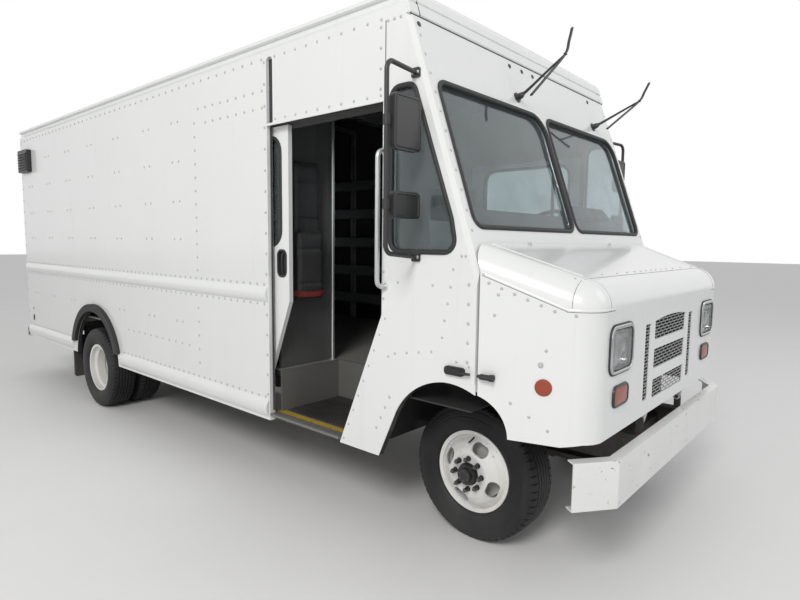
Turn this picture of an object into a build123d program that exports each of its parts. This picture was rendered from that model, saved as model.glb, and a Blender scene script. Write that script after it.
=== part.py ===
from build123d import *
import math
import os

os.makedirs("parts", exist_ok=True)

# Overall layout, in millimetres. The front of the van faces -Y, +Z is up and the ground is at zero.
overall_length = 6900.0
front_overhang = 800.0        # front axle to the face of the front bumper
wheelbase = 4000.0
rear_step_depth = 140.0       # the step bumper behind the body
body_half = 1144.0            # centre line to the outer face of the body side
front_face_y = -overall_length / 2
front_axle_y = front_face_y + front_overhang
rear_axle_y = front_axle_y + wheelbase

# Heights
skirt_bottom = 455.0          # lower edge of the side walls
floor_top = 765.0
floor_thickness = 40.0
wall_top = 2682.0             # seam between the side walls and the roof rail
roof_rise = 118.0             # the roof over that seam
roof_top = wall_top + roof_rise
door_head = wall_top - 407.0  # lower lip of the header over each cab door

# Panels
wall = 40.0                   # side wall or cab side, with its lining
door_gap = 6.0                # between the wall and a sliding door
door_thickness = 28.0
skin = 6.0                    # single sheet pieces such as aprons and brackets
glass_thickness = 6.0

# Body stations along the van, from the front axle
hood_gap_y = front_axle_y - 245.0
door_front_y = front_axle_y + 330.0     # front edge of the cab door opening
post_y = front_axle_y + 1285.0          # front edge of the box side
body_rear_y = overall_length / 2 - rear_step_depth
rear_frame_depth = 40.0

# Raked front of the cab: a plane through the point below, leaning back as it rises
rake_slope = 0.347
rake_ref_y = front_axle_y + 60.0
rake_ref_z = wall_top - 355.0
hood_line_z = 1458.0          # where the raked front turns upright, behind the hood
cap_seam_z = wall_top - 32.0  # seam between the cab front and the roof cap


def rake_y(z):
    return rake_ref_y + rake_slope * (z - rake_ref_z)


rake_back = wall * math.hypot(1.0, rake_slope)    # wall thickness measured along Y


def save(piece, name):
    piece.label = name
    export_step(piece, "parts/" + name + ".step")


def mirrored(piece):
    return mirror(piece, about=Plane.YZ)


def save_pair(piece, name):
    save(piece, name + "_right")
    save(mirrored(piece), name + "_left")


def both(piece):
    return Compound(children=list(piece.solids()) + list(mirrored(piece).solids()))


# Wheels: 16 inch steel wheels with eight studs, the rear ones twin
tyre_radius = 372.0
tyre_half = 111.0
rim_radius = 220.0
rim_half = 88.0
disc_offset = 127.0           # rim centre to the mounting face of the disc
stud_circle_radius = 82.5
stud_count = 8
hand_hole_count = 4
front_wheel_x = body_half - 455.0     # centre of each front tyre
twin_spacing = 254.0
twin_middle_x = body_half - 222.0     # mounting face of the twin wheels
axle_z = tyre_radius
running_gap = 0.1

rim_seat_radius = rim_radius - 14.0
rim_well_radius = rim_radius - 38.0
rim_sheet = 6.0

# Sections for revolving; columns: distance from the rim centre, radius
rim_outside = [
    (rim_half - 6.0, rim_radius), (rim_half - 10.0, rim_seat_radius),
    (rim_half - 40.0, rim_seat_radius - 3.0), (rim_half - 58.0, rim_well_radius),
]
rim_inside = [
    (rim_half - 54.0, rim_well_radius - rim_sheet), (rim_half - 36.0, rim_seat_radius - 3.0 - rim_sheet),
    (rim_half - 2.0, rim_seat_radius - rim_sheet), (rim_half, rim_radius),
]
tyre_side = [
    (rim_half - 11.0, rim_seat_radius + 0.6), (rim_half - 6.8, rim_radius + 2.0),
    (tyre_half - 19.0, rim_radius + 4.0), (tyre_half - 3.0, rim_radius + 38.0),
    (tyre_half, tyre_radius - 80.0), (tyre_half - 6.0, tyre_radius - 38.0),
    (tyre_half - 21.0, tyre_radius - 9.0), (tyre_half - 51.0, tyre_radius),
]
disc_rim_radius = rim_seat_radius - 3.0 - rim_sheet / 2
disc_section = [
    (52.0, disc_rim_radius), (64.0, disc_rim_radius), (98.0, 166.0), (120.0, 130.0), (disc_offset, 108.0),
    (disc_offset, 50.0), (disc_offset - 8.0, 50.0), (disc_offset - 8.0, 105.0), (112.0, 125.0), (90.0, 159.0),
    (52.0, disc_rim_radius - 8.0),
]


def other_side(points):
    return [(-u, r) for u, r in reversed(points)]


rim_section = rim_outside + other_side(rim_outside) + [(-u, r) for u, r in reversed(rim_inside)] + rim_inside
tyre_section = tyre_side + other_side(tyre_side)


def ring(section, x, facing):
    """Revolves a section about the X axis; facing is 1 with the outside towards +X and -1 towards -X."""
    with BuildPart() as made:
        with BuildSketch(Plane.XZ):
            with BuildLine():
                Polyline([(x + facing * u, r) for u, r in section], close=True)
            make_face()
        revolve(axis=Axis.X)
    return made.part


def drum(x_from, x_to, radius):
    """A cylinder along X between two stations."""
    with BuildPart() as made:
        with BuildSketch(Plane.YZ.offset(min(x_from, x_to))):
            Circle(radius)
        extrude(amount=abs(x_to - x_from))
    return made.part


hub_radius = 52.0
spindle_radius = 24.0
hand_hole_radius = 146.0
hand_hole_length = 96.0
hand_hole_width = 58.0
stud_radius = 12.5
stud_length = 32.0
rotor_radius = 158.0


def wheel_openings(x_from, x_to):
    """Cutters for the hand holes of one wheel."""
    with BuildPart() as made:
        with BuildSketch(Plane.YZ.offset(min(x_from, x_to))):
            with PolarLocations(hand_hole_radius, hand_hole_count, start_angle=22.5):
                SlotOverall(hand_hole_length, hand_hole_width, rotation=90)
        extrude(amount=abs(x_to - x_from))
    return made.part


def wheel_studs(x_from, x_to):
    """Studs with their nuts on the stud circle."""
    with BuildPart() as made:
        with BuildSketch(Plane.YZ.offset(min(x_from, x_to))):
            with PolarLocations(stud_circle_radius, stud_count):
                RegularPolygon(stud_radius, 6)
        extrude(amount=abs(x_to - x_from))
    return made.part


# Front wheel, built for the right side (-X) and about the X axis, then moved to its axle
face_x = -(front_wheel_x + disc_offset)
front_wheel = ring(rim_section, -front_wheel_x, -1)
front_wheel += ring(disc_section, -front_wheel_x, -1)
front_wheel -= wheel_openings(face_x - 10.0, -front_wheel_x)
front_wheel += drum(face_x - 26.0, -front_wheel_x, hub_radius)
front_wheel += drum(face_x - 44.0, face_x - 26.0, hub_radius - 14.0)
front_wheel += wheel_studs(face_x - stud_length, face_x + 4.0)
front_wheel += drum(-front_wheel_x, -front_wheel_x - 22.0, rotor_radius)
front_wheel -= drum(face_x + 14.0, -front_wheel_x + 40.0, spindle_radius + running_gap)
front_place = Pos(0.0, front_axle_y, axle_z)
save_pair(front_place * front_wheel, "front_wheel")
front_tyre = ring(tyre_section, -front_wheel_x, -1)
save_pair(front_place * front_tyre, "front_tyre")

# Twin rear wheels: the outer one faces inwards, so its disc lies deep inside the rim
twin_outer_x = twin_middle_x + twin_spacing / 2
twin_inner_x = twin_middle_x - twin_spacing / 2
axle_end_radius = 30.0
rear_wheel = ring(rim_section, -twin_outer_x, 1) + ring(disc_section, -twin_outer_x, 1)
rear_wheel += ring(rim_section, -twin_inner_x, -1) + ring(disc_section, -twin_inner_x, -1)
rear_wheel -= wheel_openings(-twin_middle_x - 60.0, -twin_middle_x + 60.0)
rear_wheel += drum(-twin_middle_x - 70.0, -twin_inner_x, hub_radius + 8.0)
rear_wheel += drum(-twin_middle_x - 84.0, -twin_middle_x - 70.0, hub_radius - 6.0)
rear_wheel += wheel_studs(-twin_middle_x - 8.0 - stud_length, -twin_middle_x)
rear_wheel += drum(-twin_inner_x - 10.0, -twin_inner_x + 62.0, rotor_radius)
rear_wheel -= drum(-twin_middle_x - 10.0, -twin_inner_x + 80.0, axle_end_radius + running_gap)
rear_place = Pos(0.0, rear_axle_y, axle_z)
save_pair(rear_place * rear_wheel, "rear_wheel")
outer_tyre = ring(tyre_section, -twin_outer_x, 1)
inner_tyre = ring(tyre_section, -twin_inner_x, 1)
twin_tyres = Compound(children=[rear_place * outer_tyre, rear_place * inner_tyre])
twin_tyres_left = Compound(children=[mirrored(rear_place * outer_tyre), mirrored(rear_place * inner_tyre)])
save(twin_tyres, "rear_tyres_right")
save(twin_tyres_left, "rear_tyres_left")

# Chassis frame: two channel rails, cross-members and the sills that carry the floor
rail_bottom = 470.0
rail_height = 160.0
rail_sheet = 7.0
rail_flange = 62.0
rail_half_front = 360.0
rail_half_rear = 430.0
rail_front_y = front_face_y + skin
rail_rear_y = body_rear_y - 60.0
kick_start_y = front_axle_y + 560.0
kick_end_y = front_axle_y + 960.0
sill_half = body_half - 124.0
sill_depth = 60.0
floor_rear_y = body_rear_y - rear_frame_depth
tyre_clearance = 30.0         # beside the inner twin tyre
wheel_box_inner_x = twin_middle_x - twin_spacing / 2 - tyre_half - tyre_clearance
cross_member_y = [
    rail_front_y + sill_depth / 2 + 9.0, front_axle_y - 560.0, front_axle_y - 130.0,
    kick_end_y + sill_depth / 2 + 10.0, front_axle_y + 2000.0, rear_axle_y - 900.0,
    rear_axle_y + 450.0, body_rear_y - 360.0,
]
flap_sill_y = rear_axle_y + 620.0
last_sill_y = floor_rear_y - 50.0
# columns: station, half length of the sill
floor_sills = [
    (front_axle_y + 1400.0, sill_half), (front_axle_y + 2100.0, sill_half), (front_axle_y + 2800.0, sill_half),
    (rear_axle_y - 570.0, sill_half), (rear_axle_y, wheel_box_inner_x - 54.0), (flap_sill_y, sill_half),
    ((flap_sill_y + last_sill_y) / 2, sill_half), (last_sill_y, sill_half),
]


def rail_plan(side, width):
    outer = [
        (rail_half_front, rail_front_y), (rail_half_front, kick_start_y),
        (rail_half_rear, kick_end_y), (rail_half_rear, rail_rear_y),
    ]
    inner = [(x - width, y) for x, y in reversed(outer)]
    return [(side * x, y) for x, y in outer + inner]


floor_bottom = floor_top - floor_thickness
pivot_y = front_axle_y - 700.0        # hinge axis of the hood
pivot_z = 700.0
pivot_radius = 10.0
pivot_boss_radius = 18.0
lug_x = rail_half_front - 50.0
lug_thickness = 16.0
ear_play = 2.0
hood_ear_thickness = 12.0
hood_ear_x = lug_x + lug_thickness / 2 + ear_play
frame_solids = []
for side in (-1, 1):
    with BuildPart() as frame_rail:
        for width, low, high in (
            (rail_sheet, rail_bottom, rail_bottom + rail_height),
            (rail_flange, rail_bottom, rail_bottom + rail_sheet),
            (rail_flange, rail_bottom + rail_height - rail_sheet, rail_bottom + rail_height),
        ):
            with BuildSketch(Plane.XY.offset(low)):
                with BuildLine():
                    Polyline(rail_plan(side, width), close=True)
                make_face()
            extrude(amount=high - low)
        # ear with a pin that carries the hood
        rail_top = rail_bottom + rail_height
        ear_middle = side * (hood_ear_x + hood_ear_thickness / 2)
        with BuildSketch(Plane.YZ.offset(ear_middle - hood_ear_thickness / 2)):
            with Locations((pivot_y, pivot_z)):
                Circle(pivot_boss_radius)
            with Locations((pivot_y, (rail_top + pivot_z) / 2)):
                Rectangle(2 * pivot_boss_radius, pivot_z - rail_top)
        extrude(amount=hood_ear_thickness)
        pin_length = hood_ear_thickness + ear_play + lug_thickness + 4.0
        pin_middle = side * (hood_ear_x + hood_ear_thickness - pin_length / 2)
        with BuildSketch(Plane.YZ.offset(pin_middle - pin_length / 2)):
            with Locations((pivot_y, pivot_z)):
                Circle(pivot_radius)
        extrude(amount=pin_length)
    frame_solids.append(frame_rail.part)
# cross-members between the webs of the rails, resting on their lower flanges
for station in cross_member_y:
    half = (rail_half_front if station < kick_start_y else rail_half_rear) - rail_sheet
    with BuildPart() as cross_member:
        with BuildSketch(Plane.XY.offset(rail_bottom + rail_sheet)):
            with Locations((0.0, station)):
                Rectangle(2 * half, sill_depth)
        extrude(amount=rail_height / 2)
    frame_solids.append(cross_member.part)
# sills on top of the rails
for station, half in floor_sills:
    with BuildPart() as floor_sill:
        with BuildSketch(Plane.XY.offset(rail_bottom + rail_height)):
            with Locations((0.0, station)):
                Rectangle(2 * half, sill_depth)
        extrude(amount=floor_bottom - rail_bottom - rail_height)
    frame_solids.append(floor_sill.part)
save(Compound(children=frame_solids), "chassis_frame")

# Front axle beam with kingpin bosses, on two leaf springs under the rails
kingpin_x = front_wheel_x - 69.0
kingpin_radius = 14.0
boss_radius = 30.0
boss_half = 55.0
beam_height = 76.0
beam_depth = 70.0
beam_middle_z = axle_z - 10.0
beam_top = beam_middle_z + beam_height / 2
spring_x = 325.0
spring_width = 64.0
spring_half_length = 620.0
spring_leaf = 9.0
leaf_count = 4


def leaf_pack(axle_y, seat_z, eye_z):
    """A pack of stacked leaves, each shorter than the one over it, with hanger blocks at both ends."""
    with BuildPart() as made:
        for index in range(leaf_count):
            reach = spring_half_length - index * 120.0
            top = seat_z + (leaf_count - index) * spring_leaf
            with BuildSketch(Plane.YZ.offset(-spring_x - spring_width / 2)):
                with BuildLine():
                    rise = (eye_z - seat_z) * (reach / spring_half_length) ** 2
                    ThreePointArc((axle_y - reach, top + rise), (axle_y, top), (axle_y + reach, top + rise))
                    Line((axle_y + reach, top + rise), (axle_y + reach, top + rise - spring_leaf))
                    ThreePointArc(
                        (axle_y + reach, top + rise - spring_leaf),
                        (axle_y, top - spring_leaf),
                        (axle_y - reach, top + rise - spring_leaf),
                    )
                    Line((axle_y - reach, top + rise - spring_leaf), (axle_y - reach, top + rise))
                make_face()
            extrude(amount=spring_width)
        for end in (-1, 1):
            with BuildSketch(Plane.XY.offset(eye_z)):
                with Locations((-spring_x, axle_y + end * (spring_half_length - 20.0))):
                    Rectangle(spring_width, 50.0)
            extrude(amount=rail_bottom - eye_z)
    return made.part


with BuildPart() as front_beam:
    with BuildSketch(Plane.YZ.offset(-kingpin_x)):
        with Locations((front_axle_y, beam_middle_z)):
            Rectangle(beam_depth, beam_height)
        beam_front = (front_axle_y - beam_depth / 2, beam_middle_z)
        beam_rear = (front_axle_y + beam_depth / 2, beam_middle_z)
        with Locations(beam_front, beam_rear):
            Rectangle(beam_depth - 24.0, beam_height - 30.0, mode=Mode.SUBTRACT)
    extrude(amount=2 * kingpin_x)
    with BuildSketch(Plane.XY.offset(axle_z - boss_half)):
        with Locations((-kingpin_x, front_axle_y), (kingpin_x, front_axle_y)):
            Circle(boss_radius)
    extrude(amount=2 * boss_half)
    with BuildSketch(Plane.XY.offset(axle_z - boss_half)):
        with Locations((-kingpin_x, front_axle_y), (kingpin_x, front_axle_y)):
            Circle(kingpin_radius + running_gap)
    extrude(amount=2 * boss_half, mode=Mode.SUBTRACT)
front_spring = leaf_pack(front_axle_y, beam_top, beam_top + 12.0)
front_axle = front_beam.part + front_spring + mirrored(front_spring)
save(front_axle, "front_axle")

# Steering knuckles: a yoke round the kingpin boss, the pin and the wheel spindle
ear_gap = 1.0
ear_thickness = 20.0
yoke_inner_x = kingpin_x + boss_radius + 4.0
yoke_outer_x = front_wheel_x - 10.0
with BuildPart() as knuckle:
    for low in (axle_z - boss_half - ear_gap - ear_thickness, axle_z + boss_half + ear_gap):
        with BuildSketch(Plane.XY.offset(low)):
            with Locations((-kingpin_x, front_axle_y)):
                Circle(boss_radius)
            with Locations((-(kingpin_x + yoke_outer_x) / 2, front_axle_y)):
                Rectangle(yoke_outer_x - kingpin_x, 2 * boss_radius)
        extrude(amount=ear_thickness)
    with BuildSketch(Plane.XY.offset(axle_z - boss_half - ear_gap - ear_thickness)):
        with Locations((-(yoke_inner_x + yoke_outer_x) / 2, front_axle_y)):
            Rectangle(yoke_outer_x - yoke_inner_x, 2 * boss_radius)
    extrude(amount=2 * (boss_half + ear_gap + ear_thickness))
    with BuildSketch(Plane.XY.offset(axle_z - boss_half - ear_gap - 1.0)):
        with Locations((-kingpin_x, front_axle_y)):
            Circle(kingpin_radius)
    extrude(amount=2 * (boss_half + ear_gap) + 2.0)
    with BuildSketch(Plane.YZ.offset(face_x + 20.0)):
        with Locations((front_axle_y, axle_z)):
            Circle(spindle_radius)
    extrude(amount=-face_x - 20.0 - yoke_inner_x - 4.0)
save_pair(knuckle.part, "knuckle")

# Rear axle: tube, differential housing, stub ends and leaf springs; the drive shaft runs forward
axle_tube_radius = 45.0
axle_tube_end = twin_inner_x - 72.0
diff_radius = 150.0
shaft_radius = 40.0
shaft_front_y = front_axle_y + 860.0
with BuildPart() as rear_tube:
    with BuildSketch(Plane.YZ.offset(-axle_tube_end)):
        with Locations((rear_axle_y, axle_z)):
            Circle(axle_tube_radius)
    extrude(amount=2 * axle_tube_end)
    with BuildSketch(Plane.YZ.offset(-twin_middle_x + 4.0)):
        with Locations((rear_axle_y, axle_z)):
            Circle(axle_end_radius)
    extrude(amount=2 * (twin_middle_x - 4.0))
    with BuildSketch(Plane.XZ.offset(-rear_axle_y - 90.0)):
        with Locations((0.0, axle_z)):
            Circle(diff_radius)
    extrude(amount=180.0)
    with BuildSketch(Plane.XZ.offset(-rear_axle_y + 90.0)):
        with Locations((0.0, axle_z)):
            Circle(shaft_radius * 1.6)
    extrude(amount=120.0, taper=12.0)
    with BuildSketch(Plane.XZ.offset(-rear_axle_y + 200.0)):
        with Locations((0.0, axle_z)):
            Circle(shaft_radius)
    extrude(amount=rear_axle_y - 200.0 - shaft_front_y)
rear_spring = Pos(-(rail_half_rear - rail_flange / 2 - spring_x), 0.0, 0.0) * leaf_pack(
    rear_axle_y, axle_z + 40.0, axle_z + 60.0
)
rear_axle = rear_tube.part + rear_spring + mirrored(rear_spring)
save(rear_axle, "rear_axle")

# Engine and gearbox as plain blocks seated on a cross-member, and the radiator in front of them
cross_member_top = rail_bottom + rail_sheet + rail_height / 2
engine_rear_y = front_axle_y + 410.0
engine_length = 860.0
engine_width = 480.0
engine_height = 520.0
gearbox_width = 300.0
gearbox_top = cross_member_top + 60.0
gearbox_bottom = axle_z - 52.0
with BuildPart() as engine_block:
    with BuildSketch(Plane.XY.offset(cross_member_top)):
        with Locations((0.0, engine_rear_y - engine_length / 2)):
            Rectangle(engine_width, engine_length)
    extrude(amount=engine_height)
    fillet(engine_block.edges().filter_by(Axis.Z), 30.0)
    with BuildSketch(Plane.XZ.offset(-shaft_front_y)):
        with Locations((0.0, (gearbox_top + gearbox_bottom) / 2)):
            RectangleRounded(gearbox_width, gearbox_top - gearbox_bottom, 40.0)
    extrude(amount=shaft_front_y - engine_rear_y)
    with BuildSketch(Plane.XZ.offset(-engine_rear_y)):
        with Locations((0.0, cross_member_top + 50.0)):
            Rectangle(gearbox_width, 100.0)
    extrude(amount=-40.0)
save(engine_block.part, "engine_block")

radiator_half = 340.0
radiator_depth = 56.0
radiator_bottom = rail_bottom + rail_height
radiator_top = 1180.0
radiator_y = front_axle_y - 600.0
with BuildPart() as radiator:
    with BuildSketch(Plane.XZ.offset(-radiator_y - radiator_depth)):
        with Locations((0.0, (radiator_bottom + radiator_top) / 2)):
            Rectangle(2 * radiator_half, radiator_top - radiator_bottom)
    extrude(amount=radiator_depth)
    with BuildSketch(Plane.XZ.offset(-radiator_y)):
        with Locations((0.0, (radiator_bottom + radiator_top) / 2)):
            Rectangle(2 * radiator_half - 60.0, radiator_top - radiator_bottom - 80.0)
    extrude(amount=-8.0, mode=Mode.SUBTRACT)
save(radiator.part, "radiator")

# Fuel tank and exhaust, hung under the sills
sill_bottom = rail_bottom + rail_height
tank_width = 460.0
tank_height = 330.0
tank_length = 1000.0
tank_rear_y = front_axle_y + 2900.0
with BuildPart() as fuel_tank:
    with BuildSketch(Plane.XZ.offset(-tank_rear_y)):
        with Locations((rail_half_rear + 30.0 + tank_width / 2, sill_bottom - tank_height / 2)):
            RectangleRounded(tank_width, tank_height, 70.0)
    extrude(amount=tank_length)
save(fuel_tank.part, "fuel_tank")

pipe_radius = 32.0
pipe_x = rail_half_rear + pipe_radius + 33.0
pipe_z = rail_bottom + 20.0
pipe_front_y = front_axle_y + 600.0
pipe_rear_y = front_axle_y + 3250.0
muffler_half_width = 130.0
muffler_half_height = 80.0
muffler_length = 700.0
muffler_rear_y = front_axle_y + 2400.0
with BuildPart() as exhaust:
    with BuildSketch(Plane.XZ.offset(-muffler_rear_y)):
        with Locations((-rail_half_rear - 10.0 - muffler_half_width, pipe_z)):
            Ellipse(muffler_half_width, muffler_half_height)
    extrude(amount=muffler_length)
    with BuildSketch(Plane.XZ.offset(-pipe_rear_y)):
        with Locations((-pipe_x, pipe_z)):
            Circle(pipe_radius)
    extrude(amount=pipe_rear_y - pipe_front_y)
    for station, half in floor_sills[:3]:
        with BuildSketch(Plane.XY.offset(pipe_z)):
            with Locations((-pipe_x, station)):
                Rectangle(20.0, 30.0)
        extrude(amount=sill_bottom - pipe_z)
save(exhaust.part, "exhaust")

# Floor with the cab step wells and the wheel boxes over the twin wheels
cab_floor_front_y = front_axle_y + 460.0
door_outer_x = body_half - wall - door_gap
door_inner_x = door_outer_x - door_thickness
pocket_half = door_inner_x - 10.0
door_overlap = 20.0
door_length = post_y - door_front_y + 2 * door_overlap
door_open_travel = 830.0
door_rest_y = door_front_y - door_overlap + door_open_travel
pocket_end_y = door_rest_y + door_length + 30.0
step_top = 500.0
step_sheet = 15.0
step_inner_x = 560.0
step_front_y = front_axle_y + 470.0
inner_half = body_half - wall
wheel_box_front_y = rear_axle_y - 430.0
wheel_box_rear_y = rear_axle_y + 430.0
wheel_box_top = 2 * tyre_radius + 90.0
with BuildPart() as floor:
    with BuildSketch(Plane.XY.offset(floor_bottom)):
        with BuildLine():
            Polyline(
                [
                    (-step_inner_x, cab_floor_front_y), (step_inner_x, cab_floor_front_y),
                    (step_inner_x, post_y), (pocket_half, post_y), (pocket_half, pocket_end_y),
                    (inner_half, pocket_end_y), (inner_half, floor_rear_y), (-inner_half, floor_rear_y),
                    (-inner_half, pocket_end_y), (-pocket_half, pocket_end_y), (-pocket_half, post_y),
                    (-step_inner_x, post_y),
                ],
                close=True,
            )
        make_face()
    extrude(amount=floor_thickness)
    for side in (-1, 1):
        middle_x = side * (wheel_box_inner_x + inner_half) / 2
        with BuildSketch(Plane.XY.offset(floor_bottom)):
            with Locations((middle_x, (wheel_box_front_y + wheel_box_rear_y) / 2)):
                Rectangle(inner_half - wheel_box_inner_x, wheel_box_rear_y - wheel_box_front_y)
        extrude(amount=wheel_box_top - floor_bottom)
        with BuildSketch(Plane.XY.offset(floor_bottom)):
            with Locations((side * (wheel_box_inner_x + 12.0 + inner_half) / 2, rear_axle_y)):
                Rectangle(inner_half - wheel_box_inner_x - 12.0, wheel_box_rear_y - wheel_box_front_y - 24.0)
        extrude(amount=wheel_box_top - floor_bottom - 12.0, mode=Mode.SUBTRACT)
save(floor.part, "floor")

# Step wells: tread plate, riser, front and rear walls and the lower door track
pillar_foot_y = front_axle_y + 640.0
with BuildPart() as step_well:
    with BuildSketch(Plane.XY.offset(step_top - step_sheet)):
        with BuildLine():
            Polyline(
                [
                    (-step_inner_x, step_front_y), (-inner_half, step_front_y), (-inner_half, pillar_foot_y),
                    (-body_half, pillar_foot_y + 15.0), (-body_half, post_y), (-step_inner_x, post_y),
                ],
                close=True,
            )
        make_face()
    extrude(amount=step_sheet)
    with BuildSketch(Plane.XY.offset(step_top - step_sheet)):
        with Locations((-step_inner_x - step_sheet / 2, (step_front_y + post_y) / 2)):
            Rectangle(step_sheet, post_y - step_front_y)
        with Locations((-(step_inner_x + pocket_half) / 2, step_front_y - step_sheet / 2)):
            Rectangle(pocket_half - step_inner_x, step_sheet)
        with Locations((-(step_inner_x + pocket_half) / 2, post_y - step_sheet / 2)):
            Rectangle(pocket_half - step_inner_x, step_sheet)
    extrude(amount=floor_top - step_top + step_sheet)
    with BuildSketch(Plane.XY.offset(step_top - step_sheet)):
        with Locations((-(pocket_half + inner_half) / 2, (post_y + pocket_end_y) / 2)):
            Rectangle(inner_half - pocket_half, pocket_end_y - post_y)
    extrude(amount=step_sheet)
save(both(step_well.part), "step_wells")

# Box sides: one panel each side, cut round the twin wheels
arch_centre_y = rear_axle_y + 20.0
arch_centre_z = 420.0
arch_radius = 490.0
with BuildPart() as side_wall:
    with BuildSketch(Plane.YZ.offset(-body_half)):
        with Locations(((post_y + floor_rear_y) / 2, (skirt_bottom + wall_top) / 2)):
            Rectangle(floor_rear_y - post_y, wall_top - skirt_bottom)
        with Locations((arch_centre_y, arch_centre_z)):
            Circle(arch_radius, mode=Mode.SUBTRACT)
    extrude(amount=wall)
save_pair(side_wall.part, "side_wall")

# Roof: rails with a cove along both sides and an apron over the cab
rail_outline = [
    (body_half, wall_top), (body_half, wall_top + 16.0), (body_half - 14.0, wall_top + 40.0),
    (body_half - 16.0, wall_top + 66.0), (body_half + 4.0, wall_top + 72.0), (body_half + 4.0, wall_top + 90.0),
    (body_half - 30.0, roof_top - 8.0),
]
roof_front_y = rake_y(cap_seam_z)
apron_top = roof_top - 8.0
roof_under = wall_top + 80.0
with BuildPart() as roof:
    with BuildSketch(Plane.XZ.offset(-body_rear_y)):
        with BuildLine():
            Polyline(
                rail_outline
                + [(0.0, roof_top)]
                + [(-x, z) for x, z in reversed(rail_outline)]
                + [
                    (-inner_half, wall_top), (-inner_half, roof_under - 30.0), (-inner_half + 30.0, roof_under),
                    (inner_half - 30.0, roof_under), (inner_half, roof_under - 30.0), (inner_half, wall_top),
                ],
                close=True,
            )
        make_face()
    extrude(amount=body_rear_y - roof_front_y)
    # front apron between the rails, seated on the cab front
    with BuildSketch(Plane.YZ.offset(-body_half)):
        with BuildLine():
            Polyline(
                [
                    (rake_y(cap_seam_z), cap_seam_z), (rake_y(apron_top), apron_top),
                    (rake_y(apron_top) + rake_back, apron_top), (rake_y(cap_seam_z) + rake_back, cap_seam_z),
                ],
                close=True,
            )
        make_face()
    extrude(amount=2 * body_half)
    # the roof and its rails end on the raked plane
    with BuildSketch(Plane.YZ.offset(-body_half - 20.0)):
        with BuildLine():
            Polyline(
                [
                    (rake_y(cap_seam_z) - 300.0, cap_seam_z - 10.0), (rake_y(cap_seam_z), cap_seam_z - 10.0),
                    (rake_y(roof_top + 20.0), roof_top + 20.0), (rake_y(cap_seam_z) - 300.0, roof_top + 20.0),
                ],
                close=True,
            )
        make_face()
    extrude(amount=2 * body_half + 40.0, mode=Mode.SUBTRACT)
save(roof.part, "roof")

# Cab front: raked panel with two windshield openings, upright below the hood line
cover_half = 360.0
cover_top = 1150.0
screen_top = wall_top - 342.0
screen_bottom = 1660.0
screen_outer_x = body_half - 82.0
screen_inner_x = 22.0
screen_corner = 60.0
screen_round_corner = 130.0   # the upper corner of each pane on its +X side
firewall_bottom = 955.0
cab_side_front_y = hood_gap_y
rake_plane = Plane(origin=(0.0, rake_ref_y, rake_ref_z), x_dir=(1, 0, 0), z_dir=(0, -1.0, rake_slope))
rake_stretch = math.hypot(1.0, rake_slope)


def rake_local(z):
    """Height measured along the raked plane from its reference point."""
    return (z - rake_ref_z) * rake_stretch


screen_middle = rake_local((screen_top + screen_bottom) / 2)
screen_height = rake_local(screen_top) - rake_local(screen_bottom)
screen_centre_x = (screen_inner_x + screen_outer_x) / 2
screen_width = screen_outer_x - screen_inner_x


def screen_outline(centre_x, play):
    """Outline of one windshield pane in the raked plane, rounder at its upper corner on the +X side."""
    width = screen_width - 2 * play
    height = screen_height - 2 * play
    with BuildSketch() as made:
        with Locations((centre_x, screen_middle)):
            RectangleRounded(width, height, screen_corner)
        with Locations((centre_x - width / 2, screen_middle - height / 2)):
            RectangleRounded(2 * width, 2 * height, screen_round_corner, mode=Mode.INTERSECT)
    return made.sketch


with BuildPart() as cab_front:
    with BuildSketch(Plane.YZ.offset(-body_half)):
        with BuildLine():
            Polyline(
                [
                    (rake_y(hood_line_z), firewall_bottom), (rake_y(hood_line_z), hood_line_z),
                    (rake_y(cap_seam_z), cap_seam_z), (rake_y(cap_seam_z) + rake_back, cap_seam_z),
                    (rake_y(hood_line_z) + rake_back, hood_line_z),
                    (rake_y(hood_line_z) + rake_back, firewall_bottom),
                ],
                close=True,
            )
        make_face()
    extrude(amount=2 * body_half)
    with BuildSketch(rake_plane):
        add(screen_outline(-screen_centre_x, 0.0))
        add(screen_outline(screen_centre_x, 0.0))
    extrude(amount=-wall, mode=Mode.SUBTRACT)
    with BuildSketch(Plane.XZ.offset(-rake_y(hood_line_z) + 10.0)):
        with Locations((0.0, (firewall_bottom + cover_top) / 2 - 10.0)):
            Rectangle(2 * cover_half, cover_top - firewall_bottom + 20.0)
    extrude(amount=-rake_back - 20.0, mode=Mode.SUBTRACT)
    corner_edges = cab_front.edges().filter_by(
        lambda edge: abs(abs(edge.center().X) - body_half) < 1.0
        and edge.center().Y < rake_y(edge.center().Z) + 2.0
        and edge.center().Z > hood_line_z + 10.0
        and edge.center().Z < cap_seam_z - 10.0
    )
    chamfer(corner_edges, wall * 0.5)
save(cab_front.part, "cab_front")

# Cab sides: quarter window, door pillar, cowl and wheel arch
pillar_bend_z = 1216.0
cowl_bottom = 473.0
cowl_front_y = front_axle_y + 345.0
quarter_bottom = 1542.0
quarter_top = wall_top - 360.0
quarter_corner = 55.0
quarter_rear_gap = 55.0       # from the window to the door opening
quarter_top_gap = 34.0        # from the window to the raked edge, at its top, at the bend and at its foot
quarter_bend_gap = 22.0
quarter_foot_gap = 44.0
quarter_bend_rise = 150.0
arch_side_y = front_axle_y + 228.0
arch_side_z = 731.0
arch_top_y = front_axle_y - 75.0
arch_top_z = 936.0
arch_gap_z = 905.0
house_top = 815.0
house_foot = step_top - step_sheet
house_rear_y = step_front_y - step_sheet
house_sheet = 8.0
seam_y = front_axle_y + 300.0


def side_edge_y(z):
    return max(rake_y(z), rake_y(hood_line_z)) + rake_back


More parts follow.
